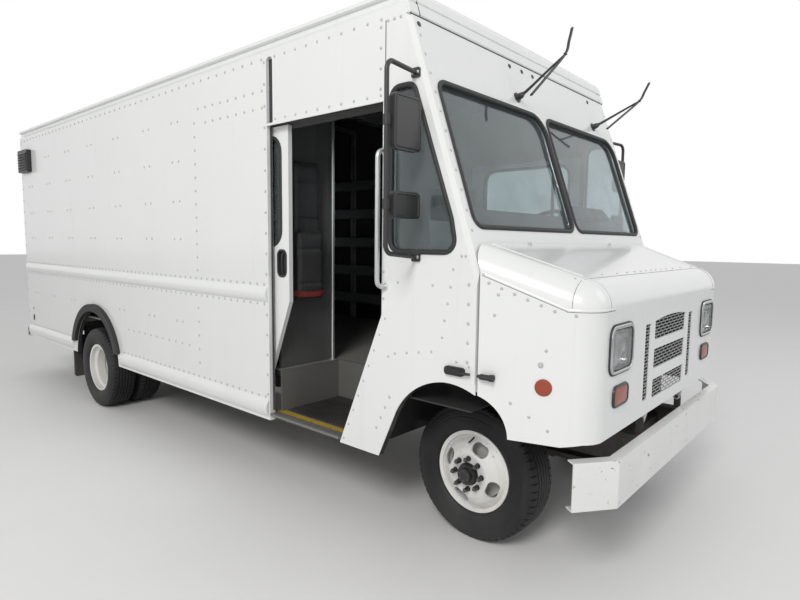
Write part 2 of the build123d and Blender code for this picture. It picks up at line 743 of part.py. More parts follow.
def quarter_outline(play):
    """Outline of the quarter window, seen from the side, with rounded corners."""
    bend_z = quarter_bottom + quarter_bend_rise
    rear_y = door_front_y - quarter_rear_gap
    with BuildSketch() as made:
        with BuildLine():
            Polyline(
                [
                    (side_edge_y(quarter_top) + quarter_top_gap, quarter_top), (rear_y, quarter_top),
                    (rear_y, quarter_bottom), (side_edge_y(quarter_bottom) + quarter_foot_gap, quarter_bottom),
                    (side_edge_y(bend_z) + quarter_bend_gap, bend_z),
                ],
                close=True,
            )
        make_face()
        offset(amount=-quarter_corner - play)
        offset(amount=quarter_corner)
    return made.sketch


with BuildPart() as cab_side:
    with BuildSketch(Plane.YZ.offset(-body_half)):
        with BuildLine():
            Polyline(
                [
                    (side_edge_y(wall_top), wall_top), (seam_y, wall_top), (seam_y, door_head),
                    (door_front_y, door_head), (door_front_y, pillar_bend_z), (pillar_foot_y, cowl_bottom),
                    (cowl_front_y, cowl_bottom), (arch_side_y, arch_side_z),
                ]
            )
            ThreePointArc(
                (arch_side_y, arch_side_z),
                ((arch_side_y + arch_top_y) / 2 + 20.0, arch_top_z - 60.0),
                (arch_top_y, arch_top_z),
            )
            ThreePointArc(
                (arch_top_y, arch_top_z),
                ((arch_top_y + hood_gap_y) / 2 - 5.0, arch_top_z - 6.0),
                (hood_gap_y, arch_gap_z),
            )
            Polyline(
                [
                    (hood_gap_y, arch_gap_z), (hood_gap_y, firewall_bottom),
                    (side_edge_y(hood_line_z), firewall_bottom), (side_edge_y(hood_line_z), hood_line_z),
                    (side_edge_y(wall_top), wall_top),
                ]
            )
        make_face()
        add(quarter_outline(0.0), mode=Mode.SUBTRACT)
    extrude(amount=wall)
    # wheel house: a top plate over the steered wheel and a plate behind it
    with BuildSketch(Plane.YZ.offset(-inner_half)):
        with BuildLine():
            Polyline(
                [
                    (side_edge_y(hood_line_z), house_top), (house_rear_y, house_top),
                    (house_rear_y, house_foot), (house_rear_y - house_sheet, house_foot),
                    (house_rear_y - house_sheet, house_top - house_sheet),
                    (side_edge_y(hood_line_z), house_top - house_sheet),
                ],
                close=True,
            )
        make_face()
    extrude(amount=inner_half - cover_half)
save_pair(cab_side.part, "cab_side")

# Headers over the cab doors, with the top guide that each door slides in
header_front_y = seam_y
guide_height = 24.0
guide_thickness = 12.0
groove_width = 60.0           # recess beside the post
groove_depth = 22.0
groove_corner = 25.0
groove_top = wall_top - 18.0
with BuildPart() as door_header:
    with BuildSketch(Plane.YZ.offset(-body_half)):
        with Locations(((header_front_y + post_y) / 2, (door_head + wall_top) / 2)):
            Rectangle(post_y - header_front_y, wall_top - door_head)
    extrude(amount=wall)
    with BuildSketch(Plane.YZ.offset(-body_half)):
        with Locations((post_y - groove_width / 2, (door_head + groove_top) / 2 - groove_corner)):
            RectangleRounded(groove_width, groove_top - door_head + 2 * groove_corner, groove_corner)
    extrude(amount=groove_depth, mode=Mode.SUBTRACT)
    with BuildSketch(Plane.YZ.offset(-inner_half)):
        with Locations(((header_front_y + pocket_end_y) / 2, door_head + guide_height / 2)):
            Rectangle(pocket_end_y - header_front_y, guide_height)
    extrude(amount=inner_half - door_inner_x + door_gap + guide_thickness)
    with BuildSketch(Plane.YZ.offset(-door_inner_x + door_gap)):
        with Locations(((header_front_y + pocket_end_y) / 2, door_head)):
            Rectangle(pocket_end_y - header_front_y, 2 * guide_height)
    extrude(amount=guide_thickness)
save(both(door_header.part), "door_headers")

# Bulkhead behind the seats, with a walk-through doorway
bulkhead_y = post_y + 30.0
bulkhead_sheet = 25.0
bulkhead_half = pocket_half - 30.0
doorway_width = 700.0
doorway_x = -230.0
doorway_top = wall_top - 232.0
with BuildPart() as bulkhead:
    with BuildSketch(Plane.XZ.offset(-bulkhead_y)):
        with Locations((0.0, (floor_top + roof_under) / 2)):
            Rectangle(2 * bulkhead_half, roof_under - floor_top)
        with Locations((doorway_x, (floor_top + doorway_top) / 2)):
            Rectangle(doorway_width, doorway_top - floor_top, mode=Mode.SUBTRACT)
    extrude(amount=-bulkhead_sheet)
save(bulkhead.part, "bulkhead")

# Rear frame round the doors, with the fixed halves of the hinges
rear_opening_half = body_half - 204.0
rear_opening_top = wall_top - 182.0
hinge_x = body_half - 159.0
hinge_pin_y = body_rear_y + 45.0
hinge_radius = 11.0
hinge_height = 60.0
hinge_gap = 0.5
leaf_bottom = 730.0
leaf_top = rear_opening_top + 30.0
lowest_hinge = leaf_bottom + 220.0
highest_hinge = leaf_top - 280.0
hinge_heights = [lowest_hinge, (lowest_hinge + highest_hinge) / 2, highest_hinge]
with BuildPart() as rear_frame:
    with BuildSketch(Plane.XZ.offset(-floor_rear_y)):
        with Locations((0.0, (skirt_bottom + wall_top) / 2)):
            Rectangle(2 * body_half, wall_top - skirt_bottom)
        with Locations((0.0, (wall_top + roof_under - 30.0) / 2)):
            Rectangle(2 * inner_half, roof_under - 30.0 - wall_top)
        with Locations((0.0, roof_under - 15.0)):
            Trapezoid(2 * inner_half, 30.0, 45.0)
        with Locations((0.0, (floor_top + rear_opening_top) / 2)):
            Rectangle(2 * rear_opening_half, rear_opening_top - floor_top, mode=Mode.SUBTRACT)
        with Locations((0.0, (skirt_bottom + floor_bottom) / 2)):
            Rectangle(2 * rail_half_rear + 20.0, floor_bottom - skirt_bottom, mode=Mode.SUBTRACT)
    extrude(amount=-rear_frame_depth)
    for side in (-1, 1):
        for height in hinge_heights:
            with BuildSketch(Plane.XY.offset(height)):
                with Locations((side * hinge_x, hinge_pin_y)):
                    Circle(hinge_radius)
                with Locations((side * (hinge_x + 6.0), (body_rear_y + hinge_pin_y) / 2)):
                    Rectangle(10.0, hinge_pin_y - body_rear_y)
            extrude(amount=hinge_height)
save(rear_frame.part, "rear_frame")

# Rear doors: two leaves proud of the frame, each with a window and its halves of the hinges
leaf_inner_x = 4.0
leaf_outer_x = body_half - 182.0
leaf_face_gap = 6.0
leaf_thickness = 32.0
leaf_window_bottom = 1620.0
leaf_window_height = 560.0
leaf_window_width = 560.0
leaf_front_y = body_rear_y + leaf_face_gap
leaf_middle_x = (leaf_inner_x + leaf_outer_x) / 2
leaf_window_z = leaf_window_bottom + leaf_window_height / 2
window_corner = 60.0
pane_play = 0.3
with BuildPart() as rear_door:
    with BuildSketch(Plane.XZ.offset(-leaf_front_y)):
        with Locations((-leaf_middle_x, (leaf_bottom + leaf_top) / 2)):
            RectangleRounded(leaf_outer_x - leaf_inner_x, leaf_top - leaf_bottom, 20.0)
        with Locations((-leaf_middle_x, leaf_window_z)):
            RectangleRounded(leaf_window_width, leaf_window_height, window_corner, mode=Mode.SUBTRACT)
    extrude(amount=-leaf_thickness)
    for height in hinge_heights:
        with BuildSketch(Plane.XY.offset(height + hinge_height + hinge_gap)):
            with Locations((-hinge_x, hinge_pin_y)):
                Circle(hinge_radius)
            with Locations((-(hinge_x + leaf_outer_x - 60.0) / 2, leaf_front_y + leaf_thickness + 3.0)):
                Rectangle(hinge_x - leaf_outer_x + 60.0, 6.0)
        extrude(amount=hinge_height)
save(rear_door.part, "rear_door_right")

# The left leaf also has the four holes for a number plate
plate_spacing_x = 177.8
plate_spacing_z = 120.65
plate_hole_radius = 3.5
plate_z = 1010.0
with BuildPart() as rear_door_left:
    add(mirrored(rear_door.part))
    with BuildSketch(Plane.XZ.offset(-leaf_front_y)):
        with Locations((leaf_middle_x, plate_z)):
            with GridLocations(plate_spacing_x, plate_spacing_z, 2, 2):
                Circle(plate_hole_radius)
    extrude(amount=-leaf_thickness, mode=Mode.SUBTRACT)
save(rear_door_left.part, "rear_door_left")
with BuildPart() as rear_door_glass:
    with BuildSketch(Plane.XZ.offset(-leaf_front_y - leaf_thickness / 2)):
        with Locations((-leaf_middle_x, leaf_window_z)):
            RectangleRounded(
                leaf_window_width - 2 * pane_play, leaf_window_height - 2 * pane_play, window_corner
            )
    extrude(amount=-glass_thickness)
save_pair(rear_door_glass.part, "rear_door_glass")

# Sliding cab doors: the right one stands open in its pocket, the left one is shut
door_bottom = step_top + 14.0
door_top = door_head - 8.0
door_lean = (pillar_foot_y - door_front_y) / (pillar_bend_z - cowl_bottom)
door_foot_step = door_lean * (pillar_bend_z - door_bottom)
door_window_front = 76.0
door_window_rear = 135.0
door_window_bottom = 1560.0
door_window_top = door_head - 70.0
handle_bottom = 1370.0
handle_height = 155.0
shoe_play = 0.3
shoe_length = 90.0
window_middle_y = door_rest_y + (door_window_front + door_length - door_window_rear) / 2
window_length = door_length - door_window_front - door_window_rear
window_middle_z = (door_window_bottom + door_window_top) / 2
window_height = door_window_top - door_window_bottom
with BuildPart() as sliding_door:
    with BuildSketch(Plane.YZ.offset(-door_outer_x)):
        with BuildLine():
            Polyline(
                [
                    (door_rest_y, door_top), (door_rest_y, pillar_bend_z),
                    (door_rest_y + door_foot_step, door_bottom),
                    (door_rest_y + door_length, door_bottom), (door_rest_y + door_length, door_top),
                ],
                close=True,
            )
        make_face()
        with Locations((window_middle_y, window_middle_z)):
            RectangleRounded(window_length, window_height, window_corner + 30.0, mode=Mode.SUBTRACT)
    extrude(amount=door_thickness)
    # handle recess in the outer face
    with BuildSketch(Plane.YZ.offset(-door_outer_x)):
        with Locations((door_rest_y + 70.0, handle_bottom + handle_height / 2)):
            RectangleRounded(80.0, handle_height, 30.0)
    extrude(amount=door_thickness - 8.0, mode=Mode.SUBTRACT)
    # shoes that run on the lower track
    with BuildSketch(Plane.YZ.offset(-door_outer_x + 4.0)):
        for station in (door_foot_step + 80.0, door_length - 80.0):
            with Locations((door_rest_y + station, (door_bottom + step_top + shoe_play) / 2 + 2.0)):
                Rectangle(shoe_length, door_bottom - step_top - shoe_play + 4.0)
    extrude(amount=door_thickness - 8.0)
with BuildPart() as sliding_glass:
    with BuildSketch(Plane.YZ.offset(-door_outer_x + (door_thickness - glass_thickness) / 2)):
        with Locations((window_middle_y, window_middle_z)):
            RectangleRounded(window_length - 2 * pane_play, window_height - 2 * pane_play, window_corner + 30.0)
    extrude(amount=glass_thickness)
shut = Pos(0.0, -door_open_travel, 0.0)
save(sliding_door.part, "door_right")
save(shut * mirrored(sliding_door.part), "door_left")
save(sliding_glass.part, "door_glass_right")
save(shut * mirrored(sliding_glass.part), "door_glass_left")

# Windshield panes and quarter windows, set in the middle of their openings
panes = []
for pane_x in (-screen_centre_x, screen_centre_x):
    with BuildPart() as screen_pane:
        with BuildSketch(rake_plane.offset(-wall / 2)):
            add(screen_outline(pane_x, pane_play))
        extrude(amount=-glass_thickness)
    panes.append(screen_pane.part)
with BuildPart() as quarter_pane:
    with BuildSketch(Plane.YZ.offset(-body_half + (wall - glass_thickness) / 2)):
        add(quarter_outline(pane_play))
    extrude(amount=glass_thickness)
panes += [quarter_pane.part, mirrored(quarter_pane.part)]
save(Compound(children=panes), "cab_glass")

# Rub rails along the box sides, rounded outwards
upper_rail_bottom = 1203.0
upper_rail_top = 1303.0
lower_rail_bottom = 472.0
lower_rail_top = 590.0
rub_rail_depth = 24.0
flare_outer_radius = 555.0
flare_depth = 34.0
flare_foot_z = 570.0
arch_reach = math.sqrt(flare_outer_radius**2 - (lower_rail_top - arch_centre_z) ** 2) + 12.0
# columns: start, end, bottom, top
rub_rails = [
    (post_y + 6.0, floor_rear_y, upper_rail_bottom, upper_rail_top),
    (post_y + 6.0, arch_centre_y - arch_reach, lower_rail_bottom, lower_rail_top),
    (arch_centre_y + arch_reach, floor_rear_y, lower_rail_bottom, lower_rail_top),
]
rail_solids = []
for start_y, end_y, low_z, high_z in rub_rails:
    crown_x = -body_half - rub_rail_depth
    with BuildPart() as rub_rail:
        with BuildSketch(Plane.XZ.offset(-end_y)):
            with BuildLine():
                Line((-body_half, high_z), (-body_half, low_z))
                ThreePointArc((-body_half, low_z), (crown_x, (low_z + high_z) / 2), (-body_half, high_z))
            make_face()
        extrude(amount=end_y - start_y)
    rail_solids += [rub_rail.part, mirrored(rub_rail.part)]
save(Compound(children=rail_solids), "rub_rails")

# Rubber flares round the rear arches, and the mud flaps behind the wheels
with BuildPart() as flare:
    with BuildSketch(Plane.YZ.offset(-body_half - flare_depth)):
        with Locations((arch_centre_y, arch_centre_z)):
            Circle(flare_outer_radius)
            Circle(arch_radius - 4.0, mode=Mode.SUBTRACT)
        with Locations((arch_centre_y, flare_foot_z - 600.0)):
            Rectangle(3 * flare_outer_radius, 1200.0, mode=Mode.SUBTRACT)
    extrude(amount=flare_depth)
save(both(flare.part), "fender_flares")

flap_y = flap_sill_y + sill_depth / 2
flap_bottom = 180.0
flap_top = floor_bottom - 20.0
flap_inner_x = wheel_box_inner_x + 20.0
flap_thickness = 10.0
with BuildPart() as mud_flap:
    with BuildSketch(Plane.XZ.offset(-flap_y)):
        with Locations((-(flap_inner_x + sill_half) / 2, (flap_bottom + flap_top) / 2)):
            Rectangle(sill_half - flap_inner_x, flap_top - flap_bottom)
    extrude(amount=-flap_thickness)
save(both(mud_flap.part), "mud_flaps")

# Front bumper: a channel with its ends swept back
bumper_bottom = 462.0
bumper_top = 675.0
bumper_flange = 50.0
bumper_straight_half = body_half - 274.0
bumper_end_x = body_half - 104.0
bumper_end_y = front_face_y + 128.0
end_length = math.hypot(bumper_end_x - bumper_straight_half, bumper_end_y - front_face_y)
end_normal_x = (bumper_end_y - front_face_y) / end_length
end_normal_y = (bumper_end_x - bumper_straight_half) / end_length
end_turn = math.atan2(bumper_end_y - front_face_y, bumper_end_x - bumper_straight_half)
end_half_angle = math.tan(end_turn / 2)


def bumper_plan(depth):
    outer = [(bumper_straight_half, front_face_y), (bumper_end_x, bumper_end_y)]
    inner = [
        (bumper_end_x - depth * end_normal_x, bumper_end_y + depth * end_normal_y),
        (bumper_straight_half - depth * end_half_angle, front_face_y + depth),
    ]
    half = outer + inner
    return [(-x, y) for x, y in reversed(outer)] + half + [(-x, y) for x, y in reversed(inner)]


with BuildPart() as front_bumper:
    for depth, low, high in (
        (skin, bumper_bottom, bumper_top),
        (bumper_flange, bumper_bottom, bumper_bottom + skin),
        (bumper_flange, bumper_top - skin, bumper_top),
    ):
        with BuildSketch(Plane.XY.offset(low)):
            with BuildLine():
                Polyline(bumper_plan(depth), close=True)
            make_face()
        extrude(amount=high - low)
save(front_bumper.part, "front_bumper")

# Rear bumper: a step the width of the body on two brackets
rear_step_bottom = 440.0
rear_step_top = 545.0
rear_step_half = body_half - 44.0
rear_step_height = rear_step_top - rear_step_bottom
with BuildPart() as rear_bumper:
    with BuildSketch(Plane.YZ.offset(-rear_step_half)):
        with Locations(((body_rear_y + overall_length / 2) / 2, (rear_step_bottom + rear_step_top) / 2)):
            Rectangle(rear_step_depth, rear_step_height)
            Rectangle(rear_step_depth - 2 * skin, rear_step_height - 2 * skin, mode=Mode.SUBTRACT)
    extrude(amount=2 * rear_step_half)
    for side in (-1, 1):
        with BuildSketch(Plane.XZ.offset(-rail_rear_y)):
            with Locations((side * (rail_half_rear - rail_flange / 2), (rail_bottom + rear_step_top) / 2)):
                Rectangle(rail_flange, rear_step_top - rail_bottom)
        extrude(amount=-(body_rear_y - rail_rear_y + skin / 2))
save(rear_bumper.part, "rear_bumper")

# Engine cover between the footwells, seated on the frame rails and open below
cover_sheet = 8.0
cover_front_y = rake_y(hood_line_z)
cover_bottom = rail_bottom + rail_height
with BuildPart() as engine_cover:
    with BuildSketch(Plane.XY.offset(cover_bottom)):
        with Locations((0.0, (cover_front_y + cab_floor_front_y) / 2)):
            Rectangle(2 * cover_half, cab_floor_front_y - cover_front_y)
    extrude(amount=cover_top - cover_bottom)
    with BuildSketch(Plane.XY.offset(cover_bottom)):
        with Locations((0.0, (cover_front_y + cab_floor_front_y - cover_sheet) / 2)):
            Rectangle(2 * (cover_half - cover_sheet), cab_floor_front_y - cover_front_y - cover_sheet)
    extrude(amount=cover_top - cover_bottom - cover_sheet, mode=Mode.SUBTRACT)
    with BuildSketch(Plane.XZ.offset(-cab_floor_front_y)):
        with Locations((0.0, cover_bottom)):
            Rectangle(gearbox_width + 20.0, 40.0)
    extrude(amount=2 * cover_sheet, mode=Mode.SUBTRACT)
save(engine_cover.part, "engine_cover")

# Dashboard across the cab, against the inside of the front panel
dash_half = inner_half - 40.0
dash_profile = [
    (rake_y(hood_line_z) + rake_back, cover_top), (rake_y(hood_line_z) + rake_back, hood_line_z),
    (rake_y(screen_bottom - 10.0) + rake_back, screen_bottom - 10.0), (front_axle_y + 40.0, 1760.0),
    (front_axle_y + 95.0, 1735.0), (front_axle_y + 80.0, 1420.0), (front_axle_y - 40.0, cover_top),
]
with BuildPart() as dashboard:
    with BuildSketch(Plane.YZ.offset(-dash_half)):
        with BuildLine():
            Polyline(dash_profile, close=True)
        make_face()
    extrude(amount=2 * dash_half)
save(dashboard.part, "dashboard")

# Steering wheel and column in front of the driver, standing on the footwell plate
driver_x = body_half - 594.0
wheel_radius = 215.0
wheel_grip_radius = 14.0
wheel_tilt = 30.0
wheel_middle_y = front_axle_y + 410.0
wheel_middle_z = 1705.0
column_radius = 26.0
seat_gap = 0.3
wheel_tilt_sin = math.sin(math.radians(wheel_tilt))
wheel_tilt_cos = math.cos(math.radians(wheel_tilt))
wheel_plane = Plane(
    origin=(driver_x, wheel_middle_y, wheel_middle_z),
    x_dir=(1, 0, 0),
    z_dir=(0, wheel_tilt_sin, wheel_tilt_cos),
)
column_length = (wheel_middle_z - house_top) / wheel_tilt_cos
with BuildPart() as steering_wheel:
    with Locations(wheel_plane.location):
        Torus(wheel_radius, wheel_grip_radius)
    with BuildSketch(wheel_plane.offset(-30.0)):
        Circle(45.0)
    extrude(amount=30.0)
    with BuildSketch(wheel_plane.offset(-12.0)):
        with PolarLocations(wheel_radius / 2, 3, start_angle=90.0):
            Rectangle(wheel_radius, 34.0)
    extrude(amount=12.0)
    with BuildSketch(wheel_plane):
        Circle(column_radius)
    extrude(amount=-column_length - column_radius)
    with BuildSketch(Plane.XY.offset(house_top + seat_gap)):
        with Locations((driver_x, wheel_middle_y)):
            Rectangle(4 * wheel_radius, 8 * wheel_radius)
    extrude(amount=-2 * column_radius - 100.0, mode=Mode.SUBTRACT)
save(steering_wheel.part, "steering_wheel")

# Driver's seat: pedestal, cushion and high back
seat_half = 230.0
seat_rear_y = front_axle_y + 1250.0
cushion_length = 470.0
cushion_bottom = 1090.0
cushion_top = 1225.0
seat_back_top = 2055.0
seat_back_depth = 110.0
seat_back_lean = 45.0
with BuildPart() as seat_base:
    with BuildSketch(Plane.XY.offset(floor_top)):
        with Locations((step_inner_x - 120.0, seat_rear_y - 330.0)):
            Rectangle(220.0, 300.0)
    extrude(amount=cushion_bottom - floor_top)
with BuildPart() as seat_cushions:
    with BuildSketch(Plane.YZ.offset(driver_x - seat_half)):
        with BuildLine():
            Polyline(
                [
                    (seat_rear_y - seat_back_depth - seat_back_lean, cushion_top),
                    (seat_rear_y - seat_back_depth, seat_back_top), (seat_rear_y, seat_back_top),
                    (seat_rear_y - seat_back_lean, cushion_bottom),
                    (seat_rear_y - seat_back_lean - cushion_length - 60.0, cushion_bottom),
                    (seat_rear_y - seat_back_lean - cushion_length - 80.0, cushion_top + 15.0),
                ],
                close=True,
            )
        make_face()
    extrude(amount=2 * seat_half)
    crown_edges = seat_cushions.edges().filter_by(Axis.Y)
    fillet(crown_edges.filter_by(lambda edge: edge.center().Z > seat_back_top - 1.0), 90.0)
save(seat_base.part, "seat_base")
save(seat_cushions.part, "driver_seat")

# Folding seat on the bulkhead beside the right door
jump_seat_x = 170.0 - bulkhead_half
jump_seat_width = 240.0
jump_back_bottom = 1580.0
jump_back_top = doorway_top - 340.0
jump_pan_bottom = 1190.0
with BuildPart() as jump_seat:
    with BuildSketch(Plane.XZ.offset(-bulkhead_y + seat_gap)):
        with Locations((jump_seat_x, (jump_back_bottom + jump_back_top) / 2)):
            RectangleRounded(jump_seat_width, jump_back_top - jump_back_bottom, 60.0)
    extrude(amount=70.0)
    with BuildSketch(Plane.XZ.offset(-bulkhead_y + seat_gap)):
        with Locations((jump_seat_x, (jump_pan_bottom + jump_back_bottom + 90.0) / 2)):
            RectangleRounded(jump_seat_width + 20.0, jump_back_bottom + 90.0 - jump_pan_bottom, 30.0)
    extrude(amount=110.0)
save(jump_seat.part, "jump_seat")

# Hood: a nose of one skin, open behind and below, that tilts forward on two lugs
nose_rear_y = hood_gap_y - door_gap
nose_gap = rake_y(hood_line_z) - nose_rear_y
nose_rear_half = body_half - 8.0        # half widths of its sides at the rear edge and at the front face
nose_front_half = body_half - 155.0
nose_front_y = front_axle_y - 731.5
nose_corner = 125.0
nose_bottom = 724.0
nose_front_bottom = 745.0
nose_top_ref_y = front_axle_y - 196.0
nose_top_ref_z = 1588.0
nose_top_slope = 0.349
nose_arch_y = front_axle_y - 386.0
nose_side_slope = (nose_rear_half - nose_front_half) / (hood_gap_y - nose_front_y)
nose_back_y = front_axle_y - 120.0
nose_clear_z = 1700.0         # over the whole nose


def nose_top(y, inset):
    return nose_top_ref_z + nose_top_slope * (y - nose_top_ref_y) - inset * math.hypot(1.0, nose_top_slope)


def nose_half(y):
    return nose_front_half + nose_side_slope * (y - nose_front_y)


def nose_form(inset):
    """Solid form of the nose, moved inwards by a distance."""
    with BuildPart() as made:
        with BuildSketch(Plane.XY.offset(nose_bottom)):
            with BuildLine():
                Polyline(
                    [
                        (-nose_half(nose_back_y), nose_back_y), (-nose_front_half, nose_front_y),
                        (nose_front_half, nose_front_y), (nose_half(nose_back_y), nose_back_y),
                    ],
                    close=True,
                )
            make_face()
            if inset > 0.0:
                offset(amount=-inset, kind=Kind.INTERSECTION)
        extrude(amount=1200.0)
        with BuildSketch(Plane.YZ.offset(-nose_rear_half - 100.0)):
            with BuildLine():
                Polyline(
                    [
                        (nose_front_y - 50.0, nose_top(nose_front_y - 50.0, inset)),
                        (nose_back_y + 50.0, nose_top(nose_back_y + 50.0, inset)),
                        (nose_back_y + 50.0, 2000.0), (nose_front_y - 50.0, 2000.0),
                    ],
                    close=True,
                )
            make_face()
        extrude(amount=2 * nose_rear_half + 200.0, mode=Mode.SUBTRACT)
        rolled = made.edges().filter_by(
            lambda edge: edge.center().Z > nose_bottom + 10.0 and edge.center().Y < nose_back_y - inset - 10.0
        )
        fillet(rolled, nose_corner - inset)
    return made.part


# Openings of the grille; columns: middle x, middle height, width, height, rise of the arched top
grille_openings = [
    (0.0, 1158.0, 530.0, 96.0, 14.0), (0.0, 1012.0, 530.0, 100.0, 0.0), (0.0, 857.0, 530.0, 96.0, 0.0),
    (-370.0, 1010.0, 76.0, 380.0, 0.0), (370.0, 1010.0, 76.0, 380.0, 0.0),
]
opening_corner = 14.0


def opening_outline(middle_x, middle_z, width, height, arch):
    """Outline of one grille opening; its top rises by the arch in the middle."""
    with BuildSketch() as made:
        with Locations((middle_x, middle_z + arch / 2)):
            RectangleRounded(width, height + arch, opening_corner)
        if arch > 0.0:
            arch_circle = (width**2 / 4 + arch**2) / (2 * arch)
            with Locations((middle_x, middle_z + height / 2 + arch - arch_circle)):
                Circle(arch_circle, mode=Mode.INTERSECT)
    return made.sketch


headlamp_x = nose_front_half - 259.0
headlamp_z = 1130.0
headlamp_width = 270.0
headlamp_height = 215.0
headlamp_corner = 50.0
bezel_width = 16.0
lamp_corner = headlamp_corner - bezel_width
lamp_play = 0.3
lamp_width = headlamp_width - 2 * bezel_width
lamp_height = headlamp_height - 2 * bezel_width
nose_outer = nose_form(0.0)
nose_inner = nose_form(skin)
with BuildPart() as hood_shell:
    add(nose_outer)
    add(nose_inner, mode=Mode.SUBTRACT)
    # rear edge along the raked front, lower edge and wheel arch
    with BuildSketch(Plane.YZ.offset(-nose_rear_half - 100.0)):
        with BuildLine():
            Polyline(
                [
                    (nose_rear_y, nose_bottom - 10.0), (nose_rear_y, hood_line_z),
                    (rake_y(nose_clear_z) - nose_gap, nose_clear_z), (front_axle_y, nose_clear_z),
                    (front_axle_y, nose_bottom - 10.0),
                ],
                close=True,
            )
        make_face()
        with BuildLine():
            Line((nose_rear_y + 1.0, nose_bottom - 10.0), (nose_rear_y + 1.0, arch_gap_z))
            ThreePointArc(
                (nose_rear_y + 1.0, arch_gap_z),
                ((nose_rear_y + nose_arch_y) / 2 - 28.0, (arch_gap_z + nose_bottom) / 2 + 22.0),
                (nose_arch_y, nose_bottom),
            )
            Polyline(
                [
                    (nose_arch_y, nose_bottom), (nose_front_y + 130.0, nose_bottom),
                    (nose_front_y + 45.0, nose_front_bottom), (nose_front_y - 10.0, nose_front_bottom),
                    (nose_front_y - 10.0, nose_bottom - 10.0),
                    (nose_rear_y + 1.0, nose_bottom - 10.0),
                ]
            )
        make_face()
    extrude(amount=2 * nose_rear_half + 200.0, mode=Mode.SUBTRACT)
    # grille and headlamp openings in the front face
    with BuildSketch(Plane.XZ.offset(-nose_front_y + 1.0)):
        for opening in grille_openings:
            add(opening_outline(*opening))
        with Locations((-headlamp_x, headlamp_z), (headlamp_x, headlamp_z)):
            RectangleRounded(lamp_width, lamp_height, lamp_corner)
    extrude(amount=-skin - 2.0, mode=Mode.SUBTRACT)
    # lugs that hang from the front face to the hinge pins
    for side in (-1, 1):
        with BuildSketch(Plane.YZ.offset(side * lug_x - lug_thickness / 2)):
            with BuildLine():
                Polyline(
                    [
                        (nose_front_y + skin / 2, nose_front_bottom + 4.0),
                        (nose_front_y + skin / 2, nose_front_bottom + 38.0),
                        (pivot_y + pivot_boss_radius, pivot_z + 30.0), (pivot_y + pivot_boss_radius, pivot_z),
                        (pivot_y - pivot_boss_radius, pivot_z),
                    ],
                    close=True,
                )
            make_face()
            with Locations((pivot_y, pivot_z)):
                Circle(pivot_boss_radius)
                Circle(pivot_radius + running_gap, mode=Mode.SUBTRACT)
        extrude(amount=lug_thickness)
save(hood_shell.part, "hood_shell")

# Grille: one punched plate behind the openings, its slots laid like bricks
grille_sheet = 3.0
grille_border = 18.0
slot_pitch_x = 66.0           # the pitches that each opening's own come closest to
slot_pitch_z = 16.6
slot_bar = 4.5
side_opening_x, opening_z, side_opening_width, side_opening_height, no_arch = grille_openings[-1]
grille_half_width = side_opening_x + side_opening_width / 2 + grille_border
grille_height = side_opening_height + 2 * grille_border + 8.0


def slot_field(middle_x, middle_z, width, height, arch):
    """Slots of one opening, in rows shifted by half a pitch in turn and cut off at its outline."""
    rows = round(height / slot_pitch_z)
    columns = round(width / slot_pitch_x)
    pitch_x = width / columns
    pitch_z = height / rows
    with BuildSketch() as made:
        for row in range(rows + (arch > 0.0)):
            shift = pitch_x / 4 * (1 if row % 2 else -1)
            row_z = middle_z - height / 2 + (row + 0.5) * pitch_z
            with Locations((middle_x + shift, row_z)):
                with GridLocations(pitch_x, pitch_z, columns + 2, 1):
                    Rectangle(pitch_x - slot_bar, pitch_z - slot_bar)
        add(opening_outline(middle_x, middle_z, width, height, arch), mode=Mode.INTERSECT)
    return made.sketch


with BuildPart() as grille:
    with BuildSketch(Plane.XZ.offset(-nose_front_y - skin)):
        with Locations((0.0, opening_z)):
            Rectangle(2 * grille_half_width, grille_height)
        for opening in grille_openings:
            add(slot_field(*opening), mode=Mode.SUBTRACT)
    extrude(amount=-grille_sheet)
save(grille.part, "grille")

# Lamps on the hood's face: headlamps with raised bezels, and marker lamps under them
bezel_depth = 14.0
lamp_depth = 70.0
lens_recess = 9.0
lens_thickness = 5.0
with BuildPart() as headlamp:
    with BuildSketch(Plane.XZ.offset(-nose_front_y + bezel_depth)):
        with Locations((-headlamp_x, headlamp_z)):
            RectangleRounded(headlamp_width, headlamp_height, headlamp_corner)
    extrude(amount=-bezel_depth)
    with BuildSketch(Plane.XZ.offset(-nose_front_y)):
        with Locations((-headlamp_x, headlamp_z)):
            RectangleRounded(lamp_width - 2 * lamp_play, lamp_height - 2 * lamp_play, lamp_corner)
    extrude(amount=-lamp_depth)
    with BuildSketch(Plane.XZ.offset(-nose_front_y + bezel_depth)):
        with Locations((-headlamp_x, headlamp_z)):
            RectangleRounded(lamp_width, lamp_height, lamp_corner)
    extrude(amount=-lens_recess, mode=Mode.SUBTRACT)
save(both(headlamp.part), "headlamps")
with BuildPart() as headlamp_lens:
    with BuildSketch(Plane.XZ.offset(-nose_front_y + bezel_depth - lens_recess + lens_thickness)):
        with Locations((-headlamp_x, headlamp_z)):
            RectangleRounded(lamp_width - 2 * lamp_play, lamp_height - 2 * lamp_play, lamp_corner)
    extrude(amount=-lens_thickness)
save(both(headlamp_lens.part), "headlamp_lenses")
marker_x = nose_front_half - 269.0
marker_z = 918.0
marker_width = 180.0
marker_height = 100.0
marker_corner = 32.0
with BuildPart() as marker_lamp:
    with BuildSketch(Plane.XZ.offset(-nose_front_y + bezel_depth)):
        with Locations((-marker_x, marker_z)):
            RectangleRounded(marker_width, marker_height, marker_corner)
    extrude(amount=-bezel_depth)
save(both(marker_lamp.part), "marker_lamps")

